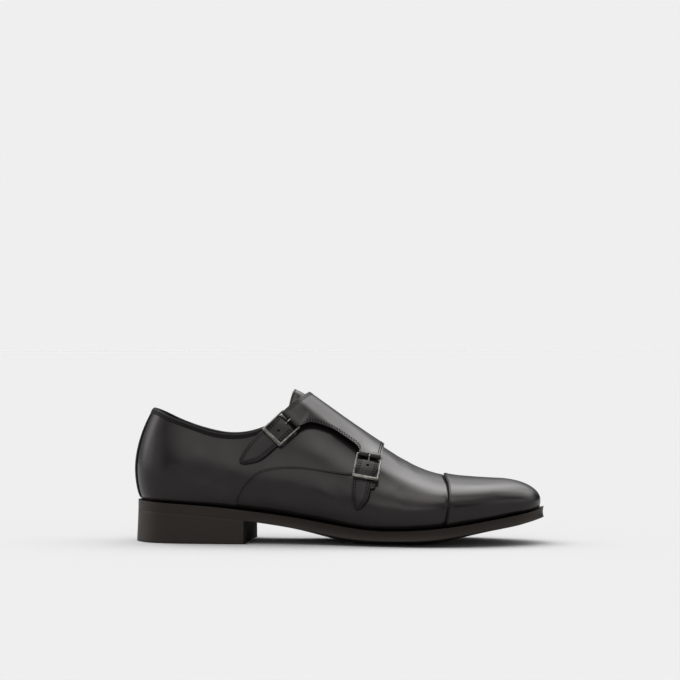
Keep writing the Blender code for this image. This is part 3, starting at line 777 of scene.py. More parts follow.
def buckle_place(row):
    """A buckle's sizes, with its middle on the upper and its axes."""
    buckle = dict(zip(BUCKLE_COLUMNS, row))
    girth = girth_at(buckle["station"], buckle["height"])
    buckle["middle"] = last_points(buckle["station"], girth)
    outward = last_normals(buckle["station"], girth)
    turn = math.radians(buckle["heading"])
    flat = np.array((math.cos(turn), 0.0, math.sin(turn)))
    flat[1] = -(flat @ outward) / outward[1]
    along = flat / np.linalg.norm(flat)
    buckle["axes"] = np.array((along, np.cross(outward, along), outward))
    buckle["hinge"] = (SIDE_BAR - buckle["length"]) / 2
    return buckle


def in_frame(buckle, along, across, out):
    """Points given in the frame's own axes, out measured from its middle plane."""
    along, across, out = np.broadcast_arrays(along, across, out)
    local = np.stack((along, across, out + buckle["lift"]), -1)
    return buckle["middle"] + local @ buckle["axes"]


buckles = {name: buckle_place(row) for name, row in BUCKLE_PLACES.items()}


# Quarters. The back of the upper in two pieces of calf, sewn over the vamp with a turned edge. The
# outer one ends under the flap; the inner one runs on as the wide flap that crosses the instep and
# carries both buckles.

QUARTER_COLUMNS, QUARTER_ROWS = 150, 50
QUARTER_THICKNESS = 1.2
QUARTER_OUTSET = 0.35
QUARTER_STEP, QUARTER_STEP_GIRTH = 0.9, 0.16
STEP_FROM, STEP_FADE = 70.0, 15.0
HEEL_CROWDING = 1.6
FEATHER_SHARE = 0.34
OUTER_TOP_END = 176.0
THROAT_END = THROAT[-1][0]
FLAP_BASE = 0.95
LIFT_FROM, LIFT_FADE = 100.0, 16.0
SEAM_COLUMNS = ("share", "station", "girth")
OUTER_SEAM = (
    (0.34, 79.0, 1.0),
    (0.37, 81.0, 0.926),
    (0.40, 84.7, 0.852),
    (0.43, 88.8, 0.797),
    (0.46, 94.3, 0.759),
    (0.50, 101.5, 0.731),
    (0.55, 111.1, 0.706),
    (0.63, 126.2, 0.674),
    (0.70, 138.9, 0.652),
    (0.78, 154.9, 0.621),
    (0.84, 164.5, 0.59),
    (0.90, 171.5, 0.50),
    (0.95, 176.0, 0.30),
    (1.00, 179.0, 0.0),
)
INNER_SEAM = (
    *OUTER_SEAM[:8],
    (0.70, 139.5, 0.644),
    (0.78, 154.5, 0.592),
    (0.86, 167.0, 0.52),
    (0.93, 175.8, 0.44),
    (1.00, 182.0, 0.35),
)
seams = {1: curves(SEAM_COLUMNS, OUTER_SEAM), -1: curves(SEAM_COLUMNS, INNER_SEAM)}


def quarter_foot(u, side):
    """The quarter's lower edge: the feather line, then the seam over the vamp."""
    feather = u <= FEATHER_SHARE
    on_feather = OUTER_SEAM[0][1] * (u / FEATHER_SHARE) ** HEEL_CROWDING
    station = np.where(feather, on_feather, seams[side]["station"](u))
    return station, np.where(feather, 1.0, seams[side]["girth"](u))


def quarter(foot, top, v, side):
    """A quarter between its foot and its top edge, each a station and a girth.

    It stands most proud at its seam over the vamp, and the inner one's top rises to the flap.
    """
    station, girth = (between(low, high, v) for low, high in zip(foot, top))
    near_seam = hump(foot[1] - np.abs(girth), QUARTER_STEP_GIRTH) * (1.0 - v**2)
    ahead = within((station - STEP_FROM) / STEP_FADE)
    outset = QUARTER_OUTSET + QUARTER_STEP * near_seam * ahead
    if side < 0:
        lifted = within((station - LIFT_FROM) / LIFT_FADE) * v**3
        outset = between(outset, FLAP_BASE, lifted)
    return on_last(station, side * girth, outset, QUARTER_THICKNESS)


def outer_quarter(u, v):
    top = OUTER_TOP_END * u**HEEL_CROWDING
    return quarter(quarter_foot(u, 1), (top, np.where(top < THROAT_END, rim[1](top), 0.0)), v, 1)


outer_patch = (QUARTER_COLUMNS, QUARTER_ROWS, outer_quarter)
sheet("outer_quarter", [outer_patch], sewn_calf, "upper", round_edge=0.5)

# The inner quarter's top edge is the collar, then the line where the flap starts to lift.
FLAP_COLUMNS = ("run", "ridge_station", "medial_station", "medial_girth")
FLAP_ROWS = (
    (0.00, 128.0, 116.0, 0.36),
    (0.16, 132.5, 125.0, 0.40),
    (0.36, 142.5, 140.0, 0.43),
    (0.60, 157.0, 156.5, 0.42),
    (0.80, 170.0, 169.5, 0.40),
    (1.00, 183.4, 182.0, 0.35),
)
FLAP_EDGE_COLUMNS = ("run", "station", "height")
FLAP_EDGE = (
    (0.17, 125.5, 86.2),
    (0.20, 127.9, 88.0),
    (0.24, 130.7, 88.9),
    (0.34, 136.9, 88.1),
    (0.46, 144.7, 85.2),
    (0.58, 152.6, 81.3),
    (0.69, 160.7, 76.2),
    (0.78, 167.3, 70.4),
    (0.82, 168.9, 66.8),
)
FLAP_COLUMN_COUNT, FLAP_ROW_COUNT = 100, 70
FLAP_THICKNESS = 1.7
FLAP_RIDGE, FLAP_STAND = 2.4, 5.0
TAB_SHARE = 0.16
TAB_BLEND, TAB_BLEND_LENGTH = 0.20, 0.035
BACK_RISE, FRONT_RISE = 0.13, 0.11
TAB_RAISE = 2.1
TAB_SETBACK = 0.5
FIRST_LIFT, LIFT_ROUNDS, LEVEL_ROUNDS = 3.0, 12, 6
flap = curves(FLAP_COLUMNS, FLAP_ROWS)
flap_edge = curves(FLAP_EDGE_COLUMNS, FLAP_EDGE)


def lift_of(points):
    """The station, girth and outset at which points lie over the last's lateral side."""
    outset = np.full(len(points), FIRST_LIFT)
    normals = np.tile((0.0, -1.0, 0.0), (len(points), 1))
    for _ in range(LIFT_ROUNDS):
        under = points - normals * outset[:, None]
        station, girth = under[:, 0], girth_at(under[:, 0], under[:, 2])
        normals = last_normals(station, girth)
        outset = np.sum((points - last_points(station, girth)) * normals, axis=1)
    return station, girth, outset


def eased_in(share):
    """A share that starts and ends gently."""
    share = within(share)[:, None]
    return share * share * (3.0 - 2.0 * share)


def flap_lower_edge(run):
    """The station, girth and outset of the flap's free edge, drawn out to each buckle's hinge."""
    half = buckles["back"]["width"] / 2 - SIDE_BAR
    tabs, corners = {}, {}
    along_tabs = {"back": run / TAB_SHARE, "front": (run - 1.0 + TAB_SHARE) / TAB_SHARE}
    for name, corner in (("back", half), ("front", -half)):
        buckle = buckles[name]
        across = half * (2.0 * within(along_tabs[name]) - 1.0)
        hinge = buckle["hinge"] - TAB_SETBACK
        tabs[name] = np.stack(lift_of(in_frame(buckle, hinge, across, TAB_RAISE)), 1)
        corners[name] = lift_of(in_frame(buckle, hinge, np.array((corner,)), TAB_RAISE))[2]
    outset = (
        FLAP_STAND
        + (corners["back"] - FLAP_STAND) * hump(np.maximum(run - TAB_SHARE, 0.0), BACK_RISE)
        + (corners["front"] - FLAP_STAND) * hump(np.maximum(1.0 - TAB_SHARE - run, 0.0), FRONT_RISE)
    )
    station, height = flap_edge["station"](run), flap_edge["height"](run)
    girth = girth_at(station, height)
    for _ in range(LEVEL_ROUNDS):
        girth = girth_at(station, height - last_normals(station, girth)[:, 2] * outset)
    edge = np.stack((station, girth, outset), 1)
    edge = between(edge, tabs["back"], eased_in((TAB_BLEND - run) / TAB_BLEND_LENGTH))
    return between(edge, tabs["front"], eased_in((run - 1.0 + TAB_BLEND) / TAB_BLEND_LENGTH))


COLLAR_SHARE = 0.62
COLLAR_COLUMN_COUNT = 95
TURN_TO_FLAP = 60


def inner_quarter_back(u, v):
    _, _, end_station, end_girth = FLAP_ROWS[0]
    top = end_station * u**HEEL_CROWDING
    turned = u**TURN_TO_FLAP
    top_girth = between(rim[-1](top), end_girth, turned)
    return quarter(quarter_foot(u * COLLAR_SHARE, -1), (top, top_girth), v, -1)


def inner_quarter_front(u, v):
    foot = quarter_foot(COLLAR_SHARE + (1.0 - COLLAR_SHARE) * u, -1)
    return quarter(foot, (flap["medial_station"](u), flap["medial_girth"](u)), v, -1)


EDGE_RUNS = np.linspace(0.0, 1.0, 401)
EDGE_EASE = 0.07
EDGE_SHARE = 0.72


def eased_edge():
    """The free edge with its corners eased along its run: what the flap's middle is drawn to."""
    rows = flap_lower_edge(EDGE_RUNS)
    count = len(rows)
    rows = np.concatenate((2 * rows[0] - rows[:0:-1], rows, 2 * rows[-1] - rows[-2::-1]))
    reach = np.arange(-(count // 2), count // 2 + 1) * (EDGE_RUNS[1] / EDGE_EASE)
    weights = np.exp(-(reach**2) / 2)
    weights /= weights.sum()
    inside = slice(count - 1, 2 * count - 1)
    eased = [np.convolve(column, weights, mode="same")[inside] for column in rows.T]
    return lambda run: np.stack([np.interp(run, EDGE_RUNS, column) for column in eased], 1)


soft_edge = eased_edge()


def instep_flap(u, v):
    """The flap, over three lines: its root at the inner quarter, the ridge and the free edge."""
    lower, whole = soft_edge(u), np.ones(len(u))
    root = np.stack((flap["medial_station"](u), -flap["medial_girth"](u), FLAP_BASE * whole), 1)
    ridge = np.stack((flap["ridge_station"](u), 0.0 * whole, FLAP_RIDGE * whole), 1)
    middle = -root[:, 1] / (lower[:, 1] - root[:, 1])
    first = (v - middle) * (v - 1.0) / middle
    second = v * (v - 1.0) / (middle * (middle - 1.0))
    third = v * (v - middle) / (1.0 - middle)
    at = root * first[:, None] + ridge * second[:, None] + lower * third[:, None]
    near = within((v - EDGE_SHARE) / (1.0 - EDGE_SHARE)) ** 2
    at = at + (flap_lower_edge(u) - lower) * near[:, None]
    thickness = between(QUARTER_THICKNESS, FLAP_THICKNESS, within(v * 3))
    return on_last(*at.T, thickness)


sheet(
    "inner_quarter_and_flap",
    [
        (COLLAR_COLUMN_COUNT, QUARTER_ROWS, inner_quarter_back),
        (FLAP_COLUMN_COUNT, QUARTER_ROWS, inner_quarter_front),
        (FLAP_COLUMN_COUNT, FLAP_ROW_COUNT, instep_flap),
    ],
    sewn_calf,
    "upper",
    "instep_flap",
    round_edge=0.5,
)


# Topline binding. A narrow strip of soft matt leather wrapped over the open edge, so that quarter and
# lining are closed in together, and sewn down close to its lower edge.

BINDING_COLUMNS, BINDING_ROWS = 220, 18
BINDING_OUTSIDE, BINDING_INSIDE = 4.0, 3.6
BINDING_LEVELS = (0.85, -2.3)
BINDING_THICKNESS = 0.55
BINDING_CROWN = 1.6
BINDING_DROP = 1.4
BINDING_ENDS = {1: 140.0, -1: 113.0}
LEG_SHARE = 0.36
SOFT_DYE, WORN_SOFT_DYE = (0.0024, 0.0022, 0.0022), (0.0045, 0.0041, 0.0041)
soft_binding = leather("soft_binding", SOFT_DYE, WORN_SOFT_DYE, 0.6, grain=1.5, shine=0.06)


def rim_path(u):
    """The station and signed girth along the open edge, from its inner front end to its outer one."""
    run = 2.0 * u - 1.0
    outer = run >= 0
    station = np.where(outer, BINDING_ENDS[1], BINDING_ENDS[-1]) * (1.0 - np.cos(np.pi / 2 * run))
    return station, np.where(outer, rim[1](station), -rim[-1](station)), np.where(outer, 1.0, -1.0)


def below_rim(u, down, outset):
    """Points a distance below the open edge, held off the last."""
    station, girth, side = rim_path(u)
    step = last_points(station, girth + side * GIRTH_STEP) - last_points(station, girth)
    length = np.linalg.norm(step, axis=1) / GIRTH_STEP
    return over_last(station, girth + side * down / length, outset)


def topline_binding(u, v):
    outer, inner = BINDING_LEVELS
    middle, half = (outer + inner) / 2, (outer - inner) / 2
    turn = within((v - LEG_SHARE) / (1.0 - 2 * LEG_SHARE)) * np.pi
    down_leg = within(1.0 - v / LEG_SHARE) * (BINDING_OUTSIDE - BINDING_DROP)
    up_leg = within((v - 1.0) / LEG_SHARE + 1.0) * (BINDING_INSIDE - BINDING_DROP)

    def wrap(shrink):
        down = BINDING_DROP + down_leg + up_leg - (BINDING_CROWN - shrink) * np.sin(turn)
        return below_rim(u, down, middle + (half - shrink) * np.cos(turn))

    return wrap(0.0), wrap(BINDING_THICKNESS)


binding_patch = (BINDING_COLUMNS, BINDING_ROWS, topline_binding)
sheet("topline_binding", [binding_patch], soft_binding, edge_lines=False, round_edge=0.2)


# Back strip. A tapered strip of the same matt leather that covers the seam where the two quarters
# meet, from the topline down to the sole.

STRIP_COLUMNS, STRIP_ROWS = 60, 24
STRIP_EDGE_STATION = (3.0, 2.7)
STRIP_LEVEL = 1.0
STRIP_TUCK = 0.4
TUCK_GIRTH = 0.08
STRIP_ENDS = (0.01, 0.975)
STRIP_THICKNESS = 0.8


def back_strip(u, v):
    across = 2.0 * v - 1.0
    top = np.where(across >= 0, rim[1](0.0 * u), rim[-1](0.0 * u))
    girth = top + STRIP_ENDS[0] + (STRIP_ENDS[1] - top) * u
    level = STRIP_LEVEL - STRIP_TUCK * hump(girth - top, TUCK_GIRTH)
    station = between(*STRIP_EDGE_STATION, u) * across**2
    return on_last(station, np.where(across >= 0, girth, -girth), level, STRIP_THICKNESS)


sheet("back_strip", [(STRIP_COLUMNS, STRIP_ROWS, back_strip)], soft_binding, edge_lines=False)


# Tongue. A soft lined piece of calf behind the throat, sewn in at its root, whose free top edge
# stands a little above the flap.

TONGUE_COLUMNS = ("station", "lateral", "medial", "sink")
TONGUE_ROWS = (
    (119.3, 0.34, 0.40, 1.0),
    (123.0, 0.37, 0.41, 0.2),
    (132.0, 0.40, 0.42, 0.0),
    (150.0, 0.34, 0.36, 0.0),
    (170.0, 0.24, 0.26, 0.0),
)
TONGUE_GRID = (60, 60)
TONGUE_THICKNESS = 1.8
TONGUE_BOW = 3.5
TONGUE_CROWN, CROWN_SHARE, CROWN_FADE = 2.1, 0.6, 0.12
TONGUE_SINK = 3.2
tongue = curves(TONGUE_COLUMNS, TONGUE_ROWS)


def tongue_leaf(u, v):
    across = 2.0 * v - 1.0
    top, root = TONGUE_ROWS[0][0], TONGUE_ROWS[-1][0]
    station = between(top, root, u) - TONGUE_BOW * across**2 * (1.0 - u) ** 2
    girth = across * np.where(across >= 0, tongue["lateral"](station), tongue["medial"](station))
    edge = np.where(girth >= 0, rim[1](station), rim[-1](station)) * (station < THROAT_END)
    inside = np.minimum(np.abs(girth) / np.maximum(CROWN_SHARE * edge, TINY), 1.0)
    crown = TONGUE_CROWN * (1.0 - inside**2) * np.minimum(edge / CROWN_FADE, 1.0)
    outset = crown - TONGUE_SINK - tongue["sink"](station)
    return on_last(station, girth, outset, TONGUE_THICKNESS)


sheet("tongue_leaf", [(*TONGUE_GRID, tongue_leaf)], sewn_calf, "tongue", round_edge=0.6)


# Straps. Each is two layers of calf sewn together round the edge, 15 mm wide, with a pointed tail.
# It comes from under the flap, swells up inside the frame, and passes under the frame's end bar.

STRAP_COLUMNS = ("along", "half", "drift", "top")
STRAP_ROWS = {
    "back": (
        (-8.2, 7.9, -0.2, 2.2),
        (-6.8, 7.9, -0.2, 3.4),
        (-3.0, 7.9, -0.2, 4.5),
        (2.0, 7.9, -0.2, 4.3),
        (7.0, 7.9, -0.4, 3.3),
        (12.0, 8.1, -0.9, 3.3),
        (22.0, 7.8, -0.9, 4.2),
        (30.0, 6.3, -1.2, 4.7),
        (36.0, 3.6, -2.0, 4.7),
        (38.8, 1.6, -2.4, 4.6),
        (39.7, 0.35, -2.5, 4.5),
    ),
    "front": (
        (-8.4, 7.5, 0.0, 2.2),
        (-7.0, 7.5, 0.0, 3.4),
        (-3.0, 7.5, -0.1, 4.6),
        (2.0, 7.5, -0.5, 4.4),
        (7.0, 7.3, -1.5, 3.3),
        (12.0, 7.0, -1.7, 3.0),
        (20.0, 6.6, -1.4, 3.0),
        (27.0, 5.7, -1.4, 3.0),
        (34.0, 3.2, -1.8, 2.9),
        (37.2, 1.5, -2.0, 2.8),
        (38.2, 0.35, -2.1, 2.8),
    ),
}
STRAP_GRID = (180, 50)
STRAP_THICKNESS = 2.6
STRAP_HOLES = {"back": 2.6, "front": -1.0}
STRAP_CROWN = 0.35
HOLE_RADIUS, HOLE_DEPTH = 0.95, 1.7
STRAP_DYE, WORN_STRAP_DYE = (0.0040, 0.0036, 0.0036), (0.0075, 0.0068, 0.0068)
STRAP_GLOSS = {"roughness": 0.33, "grain": 1.3, "shine": 0.24}
strap_calf = leather("strap_calf", STRAP_DYE, WORN_STRAP_DYE, **STRAP_GLOSS, lines=(1.2, 2.6))


def over_upper(buckle, along, across):
    """The station and girth on the upper straight under points of the frame's plane."""
    flat = buckle["middle"] + np.stack((along, across), -1) @ buckle["axes"][:2]
    station = flat[:, 0]
    return station, girth_at(station, flat[:, 2])


def strap_patch(name):
    """One strap, crowned across, with its hole pressed in."""
    rows = STRAP_ROWS[name]
    shape = curves(STRAP_COLUMNS, rows)

    def place(u, v):
        along = between(rows[0][0], rows[-1][0], u)
        across = 2.0 * v - 1.0
        side = shape["half"](along) * across + shape["drift"](along)
        away = np.hypot(along - STRAP_HOLES[name], side) / HOLE_RADIUS
        dent = HOLE_DEPTH * within(3.0 * (1.0 - away))
        top = shape["top"](along) + STRAP_CROWN * (1.0 - across**2) - dent
        return on_last(*over_upper(buckles[name], along, side), top, STRAP_THICKNESS - dent)

    return place


strap_patches = {name: strap_patch(name) for name in STRAP_ROWS}
for name, patch in strap_patches.items():
    strap = (*STRAP_GRID, patch)
    sheet(f"{name}_strap_leather", [strap], strap_calf, f"{name}_strap", round_edge=0.6)


# Front strap base. The short lower layer that the front strap is stitched to, of the same leather,
# sewn flat on the quarter. Only its end shows, beside the strap's tail.

BASE_ENDS = (1.0, 16.4)
BASE_SIDES = (1.5, 8.9)
BASE_TOP, BASE_THICKNESS = 2.3, 1.3
BASE_ROUND, BASE_TAPER = 2.0, 0.9
BASE_GRID = (40, 20)


def strap_base(u, v):
    along = between(*BASE_ENDS, u)
    from_end = np.maximum(BASE_ROUND - (BASE_ENDS[1] - along), 0.0)
    rounded = BASE_ROUND - np.sqrt(np.maximum(BASE_ROUND**2 - from_end**2, 0.0))
    across = between(BASE_SIDES[0], BASE_SIDES[1] - rounded - BASE_TAPER * u, v)
    return on_last(*over_upper(buckles["front"], along, across), BASE_TOP, BASE_THICKNESS)


sheet("front_strap_base", [(*BASE_GRID, strap_base)], strap_calf, round_edge=0.45)


# Buckle frames. Cast and tumbled white metal, aged to a soft silver: three narrow bars and a broad
# flat end bar over the strap, with rounded edges.

CORNER_RADIUS = 0.9
TARNISH, SILVER = (0.042, 0.040, 0.037), (0.125, 0.12, 0.112)
BRUSH_SCALE, PIT_SCALE = (900.0, 900.0, 5000.0), 260.0
FRAME_EDGE, SHARP_ANGLE = 0.4, 1.0


def aged_silver():
    """Brushed metal: fine scratches along the bars, darker in its small pits."""
    material, tree, shader, place = new_material("aged_silver", 0.5)
    feed(tree, shader, {"Metallic": 1.0})
    along = add_node(tree, "Mapping", {"Vector": place, "Scale": BRUSH_SCALE})
    brush = noise(tree, along.outputs["Vector"], 1.0, 4.0)
    pits = spread(tree, noise(tree, place, PIT_SCALE, 4.0), 0.0, 1.0, 0.3, 0.65)
    gloss = spread(tree, brush, 0.26, 0.48)
    cover(tree, shader, blend(tree, pits, TARNISH, SILVER), gloss, brush, 0.25)
    return material


def stand(builder, buckle):
    """Turn a piece from the frame's own axes to its place on the shoe."""
    for vertex in builder.verts:
        vertex.co = in_frame(buckle, *vertex.co)


def slide(builder, vec, verts=None):
    """Move some vertices, or all of them."""
    bmesh.ops.translate(builder, vec=vec, verts=verts or builder.verts)


def grow(builder, faces):
    """Extrude faces: what grew."""
    return bmesh.ops.extrude_face_region(builder, geom=faces)["geom"]


def bevel(builder, edges, offset, segments):
    """Round edges off by an offset, in some steps."""
    cut = {"affect": "EDGES", "profile": 0.5, "material": -1}
    bmesh.ops.bevel(builder, geom=edges, offset=offset, segments=segments, **cut)


def buckle_frame(buckle):
    builder = bmesh.new()
    bmesh.ops.create_grid(builder, x_segments=1, y_segments=1, size=0.5)
    bmesh.ops.scale(builder, vec=(buckle["length"], buckle["width"], 1.0), verts=builder.verts)
    window = builder.faces[:]
    bars = {"thickness": SIDE_BAR, "use_even_offset": True, "use_boundary": True}
    bmesh.ops.inset_region(builder, faces=window, **bars)
    end = [vertex for vertex in window[0].verts if vertex.co.x > 0]
    slide(builder, (SIDE_BAR - END_BAR, 0.0, 0.0), end)
    bmesh.ops.delete(builder, geom=window, context="FACES")
    top = verts_in(grow(builder, builder.faces[:]))
    slide(builder, (0.0, 0.0, FRAME_THICKNESS), top)
    slide(builder, (0.0, 0.0, -FRAME_THICKNESS / 2))
    outer, inner = [], []
    for edge in builder.edges:
        first, second = (vertex.co for vertex in edge.verts)
        if abs(first.z - second.z) > TINY:
            on_outline = abs(first.y) > (buckle["width"] - SIDE_BAR) / 2
            (outer if on_outline else inner).append(edge)
    bevel(builder, outer, CORNER_RADIUS, 4)
    bevel(builder, [edge for edge in inner if edge.is_valid], CORNER_RADIUS / 2, 3)
    sharp = [edge for edge in builder.edges if edge.calc_face_angle(0.0) > SHARP_ANGLE]
    bevel(builder, sharp, FRAME_EDGE, 3)
    stand(builder, buckle)
    return builder


silver = aged_silver()
for name, buckle in buckles.items():
    make_piece(f"{name}_frame", buckle_frame(buckle), silver, "aged_metal", f"{name}_buckle_frame")


# Folds. The flap's two tabs are turned under round each frame's hinge bar and slotted for the prong,
# so that each shows as two short rolls of leather.

FOLD_RADIUS = 2.0
FOLD_THICKNESS = 1.3
FOLD_LEAF = 3.0
FOLD_DROP = 0.6
SLOT, SIDE_GAP = 2.2, 0.25
QUARTER_TURN = Matrix.Rotation(math.pi / 2, 3, "Y")


def faces_in(geom):
    """The faces among what an operator made."""
    return [item for item in geom if isinstance(item, bmesh.types.BMFace)]


def spin_round_bar(builder, faces, angle):
    """Turn faces round the hinge bar, leaving a skin behind: the faces at the far end."""
    bar = {"cent": (0.0, 0.0, 0.0), "axis": (0.0, 1.0, 0.0), "steps": 20}
    return faces_in(bmesh.ops.spin(builder, geom=faces, angle=angle, **bar)["geom_last"])


def buckle_fold(buckle, side):
    """One half of a fold: a strip of leather bent round the bar, both leaves running back."""
    builder = bmesh.new()
    bmesh.ops.create_grid(builder, x_segments=1, y_segments=6, size=0.5)
    breadth = (buckle["width"] / 2 - SIDE_BAR) - SIDE_GAP - SLOT / 2
    bmesh.ops.rotate(builder, matrix=QUARTER_TURN, verts=builder.verts)
    bmesh.ops.scale(builder, vec=(1.0, breadth, FOLD_THICKNESS), verts=builder.verts)
    slide(builder, (0.0, side * (SLOT + breadth) / 2, FOLD_RADIUS - FOLD_THICKNESS / 2))
    start = builder.faces[:]
    slide(builder, (-FOLD_LEAF, 0.0, -FOLD_DROP), verts_in(grow(builder, start)))
    ends = spin_round_bar(builder, start, math.pi)
    slide(builder, (-FOLD_LEAF, 0.0, FOLD_DROP), verts_in(grow(builder, ends)))
    bmesh.ops.delete(builder, geom=start + ends, context="FACES")
    slide(builder, (buckle["hinge"], 0.0, 0.0))
    stand(builder, buckle)
    return builder


for name, buckle in buckles.items():
    for half, side in (("upper", -1), ("lower", 1)):
        fold, node = buckle_fold(buckle, side), f"{name}_buckle_fold"
        piece = make_piece(f"{name}_fold_{half}", fold, calf, "black_leather", node)
        round_edges(piece, EDGE_ROUND)


# Prongs. A round pin of the same metal, hooked round the hinge bar through the slot, that dips into
# the strap's first hole.

PRONG_RADIUS = 0.62
PRONG_HOOK = 1.45
PRONG_CURL = -1.2 * math.pi
PRONG_STEPS = (
    (2.2, 0.1, 1.0),
    (2.0, 0.5, 0.95),
    (1.3, 0.8, 0.85),
    (0.7, 0.9, 0.6),
    (0.1, 0.3, 0.2),
)


def prong(buckle):
    """The pin, grown step by step forwards, down and thinner, then curled round the bar behind."""
    builder = bmesh.new()
    bmesh.ops.create_circle(builder, segments=12, radius=PRONG_RADIUS, cap_ends=True)
    bmesh.ops.rotate(builder, matrix=QUARTER_TURN, verts=builder.verts)
    slide(builder, (0.0, 0.0, PRONG_HOOK))
    start = builder.faces[:]
    tail = start
    for forward, down, shrink in PRONG_STEPS:
        grown = grow(builder, tail)
        tail, moved = faces_in(grown), verts_in(grown)
        slide(builder, (forward, 0.0, -down), moved)
        centre = sum((vertex.co for vertex in moved), Vector()) / len(moved)
        bmesh.ops.scale(builder, vec=(shrink,) * 3, space=Matrix.Translation(-centre), verts=moved)
    spin_round_bar(builder, start, PRONG_CURL)
    slide(builder, (buckle["hinge"], 0.0, 0.0))
    stand(builder, buckle)
    return builder


for name, buckle in buckles.items():
    make_piece(f"{name}_prong", prong(buckle), silver, "aged_metal", f"{name}_buckle_prong")


# Stitching. Waxed black thread. Two rows follow the flap's free edge and its ends, and two run
# round each strap; one row holds the tongue's facing, the seams, the cap, the binding and the
# front strap's base.

STITCH_PITCH = 2.1
FINE_PITCH = 1.7
STITCH_LENGTH, STITCH_WIDTH, STITCH_HEIGHT = 1.5, 0.8, 0.55
STITCH_STAND = 0.05
SEAM_INSET, BINDING_INSET = 0.9, 0.7
FINE, FINEST, COARSE = 0.8, 0.6, 1.1
STRAP_ROOT = 0.04
ROW_SAMPLES = 500
ROW_INSETS = (1.2, 2.6)
EDGE_STEP = 0.004
LEAST_SQUARE = 0.7
TWIST_SCALE, FLUFF_SCALE = 700.0, 900.0


def waxed_thread(name, shade, shine):
    """Twisted thread: fine turns across it, a soft gloss where the wax is rubbed."""
    material, tree, shader, place = new_material(name, shine)
    turns = add_node(tree, "TexWave", {"Vector": place, "Scale": TWIST_SCALE, "Distortion": 1.5})
    fluff = noise(tree, place, FLUFF_SCALE, 2.0)
    dark, light = (shade, shade * 0.92, shade * 0.92), (shade * 2.5, shade * 2.3, shade * 2.3)
    gloss = spread(tree, fluff, 0.34, 0.5)
    cover(tree, shader, blend(tree, fluff, dark, light), gloss, turns.outputs["Fac"], 0.4)
    return material


def row_on(top, bottom):
    """A row's points and its outward directions, from the leather's two sides."""
    return top, (top - bottom) / np.linalg.norm(top - bottom, axis=1)[:, None]


def row_inside(patch, lengthways, edge, inset, start, end):
    """The points and outward directions of a row a distance inside one edge of a patch."""
    run = np.linspace(start, end, ROW_SAMPLES)
    step = EDGE_STEP if edge == 0 else -EDGE_STEP

    def at(cross):
        return patch(run, cross) if lengthways else patch(cross, run)

    rim_points = at(np.full(ROW_SAMPLES, float(edge)))[0]
    tangent = np.gradient(rim_points, axis=0)
    tangent /= np.linalg.norm(tangent, axis=1)[:, None]
    inward = (at(np.full(ROW_SAMPLES, edge + step))[0] - rim_points) / EDGE_STEP
    square = np.linalg.norm(np.cross(inward, tangent), axis=1)
    square = np.maximum(square, LEAST_SQUARE * np.linalg.norm(inward, axis=1))
    return row_on(*at(edge + math.copysign(inset, step) / square))


def row_round_strap(name, inset):
    """A row inside a strap's edge, down one side, round its point and back."""
    run = np.linspace(STRAP_ROOT, 1.0, ROW_SAMPLES)
    rows = STRAP_ROWS[name]
    half = curves(STRAP_COLUMNS, rows)["half"](between(rows[0][0], rows[-1][0], run))
    wide = half > inset + 0.1
    run, share = run[wide], (1.0 - inset / half[wide]) / 2
    down, back = strap_patches[name](run, 0.5 - share), strap_patches[name](run, 0.5 + share)
    return row_on(*(np.concatenate((one, other[::-1])) for one, other in zip(down, back)))


def sew(name, rows, thread, pitch=STITCH_PITCH, size=1.0):
    """One thread piece: a stitch each pitch along every row, half sunk in the leather."""
    builder = bmesh.new()
    length = pitch * STITCH_LENGTH / STITCH_PITCH
    for points, outward in rows:
        steps = np.linalg.norm(np.diff(points, axis=0), axis=1)
        lengths = np.concatenate(([0.0], np.cumsum(steps)))
        count = int(lengths[-1] / pitch)
        for middle in (np.arange(count) + 0.5) * lengths[-1] / count:
            at = int(np.searchsorted(lengths, middle))
            along = Vector(points[at] - points[at - 1]).normalized()
            out = Vector(outward[at])
            side = out.cross(along).normalized()
            axes = (side * STITCH_WIDTH * size, out * STITCH_HEIGHT * size, along * length)
            turn = Matrix(axes).transposed().to_4x4()
            turn.translation = Vector(points[at]) + out * STITCH_STAND
            bmesh.ops.create_uvsphere(builder, u_segments=6, v_segments=5, radius=0.5, matrix=turn)
    make_piece(name, builder, thread, "black_leather")


matt_thread = waxed_thread("matt_thread", 0.0008, 0.03)
bright_thread = waxed_thread("bright_thread", 0.0025, 0.1)
near, far = ROW_INSETS
flap_rows = [
    row_inside(instep_flap, True, 1, near, 0.18, 0.82),
    row_inside(instep_flap, True, 1, far, 0.20, 0.80),
]
for end in (0, 1):
    flap_rows.append(row_inside(instep_flap, False, end, near, 0.04, 0.99))
    flap_rows.append(row_inside(instep_flap, False, end, far, 0.04, 0.97))
sew("flap_stitches", flap_rows, matt_thread)
sew("tongue_stitches", [row_inside(tongue_leaf, False, 0, near, 0.06, 0.94)], matt_thread)
seam_rows = [
    row_inside(outer_quarter, True, 0, SEAM_INSET, 0.36, 0.93),
    row_inside(inner_quarter_back, True, 0, SEAM_INSET, 0.58, 1.0),
    row_inside(inner_quarter_front, True, 0, SEAM_INSET, 0.0, 0.86),
]
sew("quarter_stitches", seam_rows, matt_thread, FINE_PITCH, FINE)
cap_row = row_inside(toe_cap, True, 0, SEAM_INSET, 0.01, 0.99)
sew("cap_stitches", [cap_row], matt_thread, FINE_PITCH, FINE)
binding_row = row_inside(topline_binding, True, 0, BINDING_INSET, 0.01, 0.99)
sew("binding_stitches", [binding_row], bright_thread, FINE_PITCH, FINEST)
base_row = row_inside(strap_base, True, 1, near, 0.3, 0.92)
sew("strap_base_stitches", [base_row], matt_thread, size=COARSE)
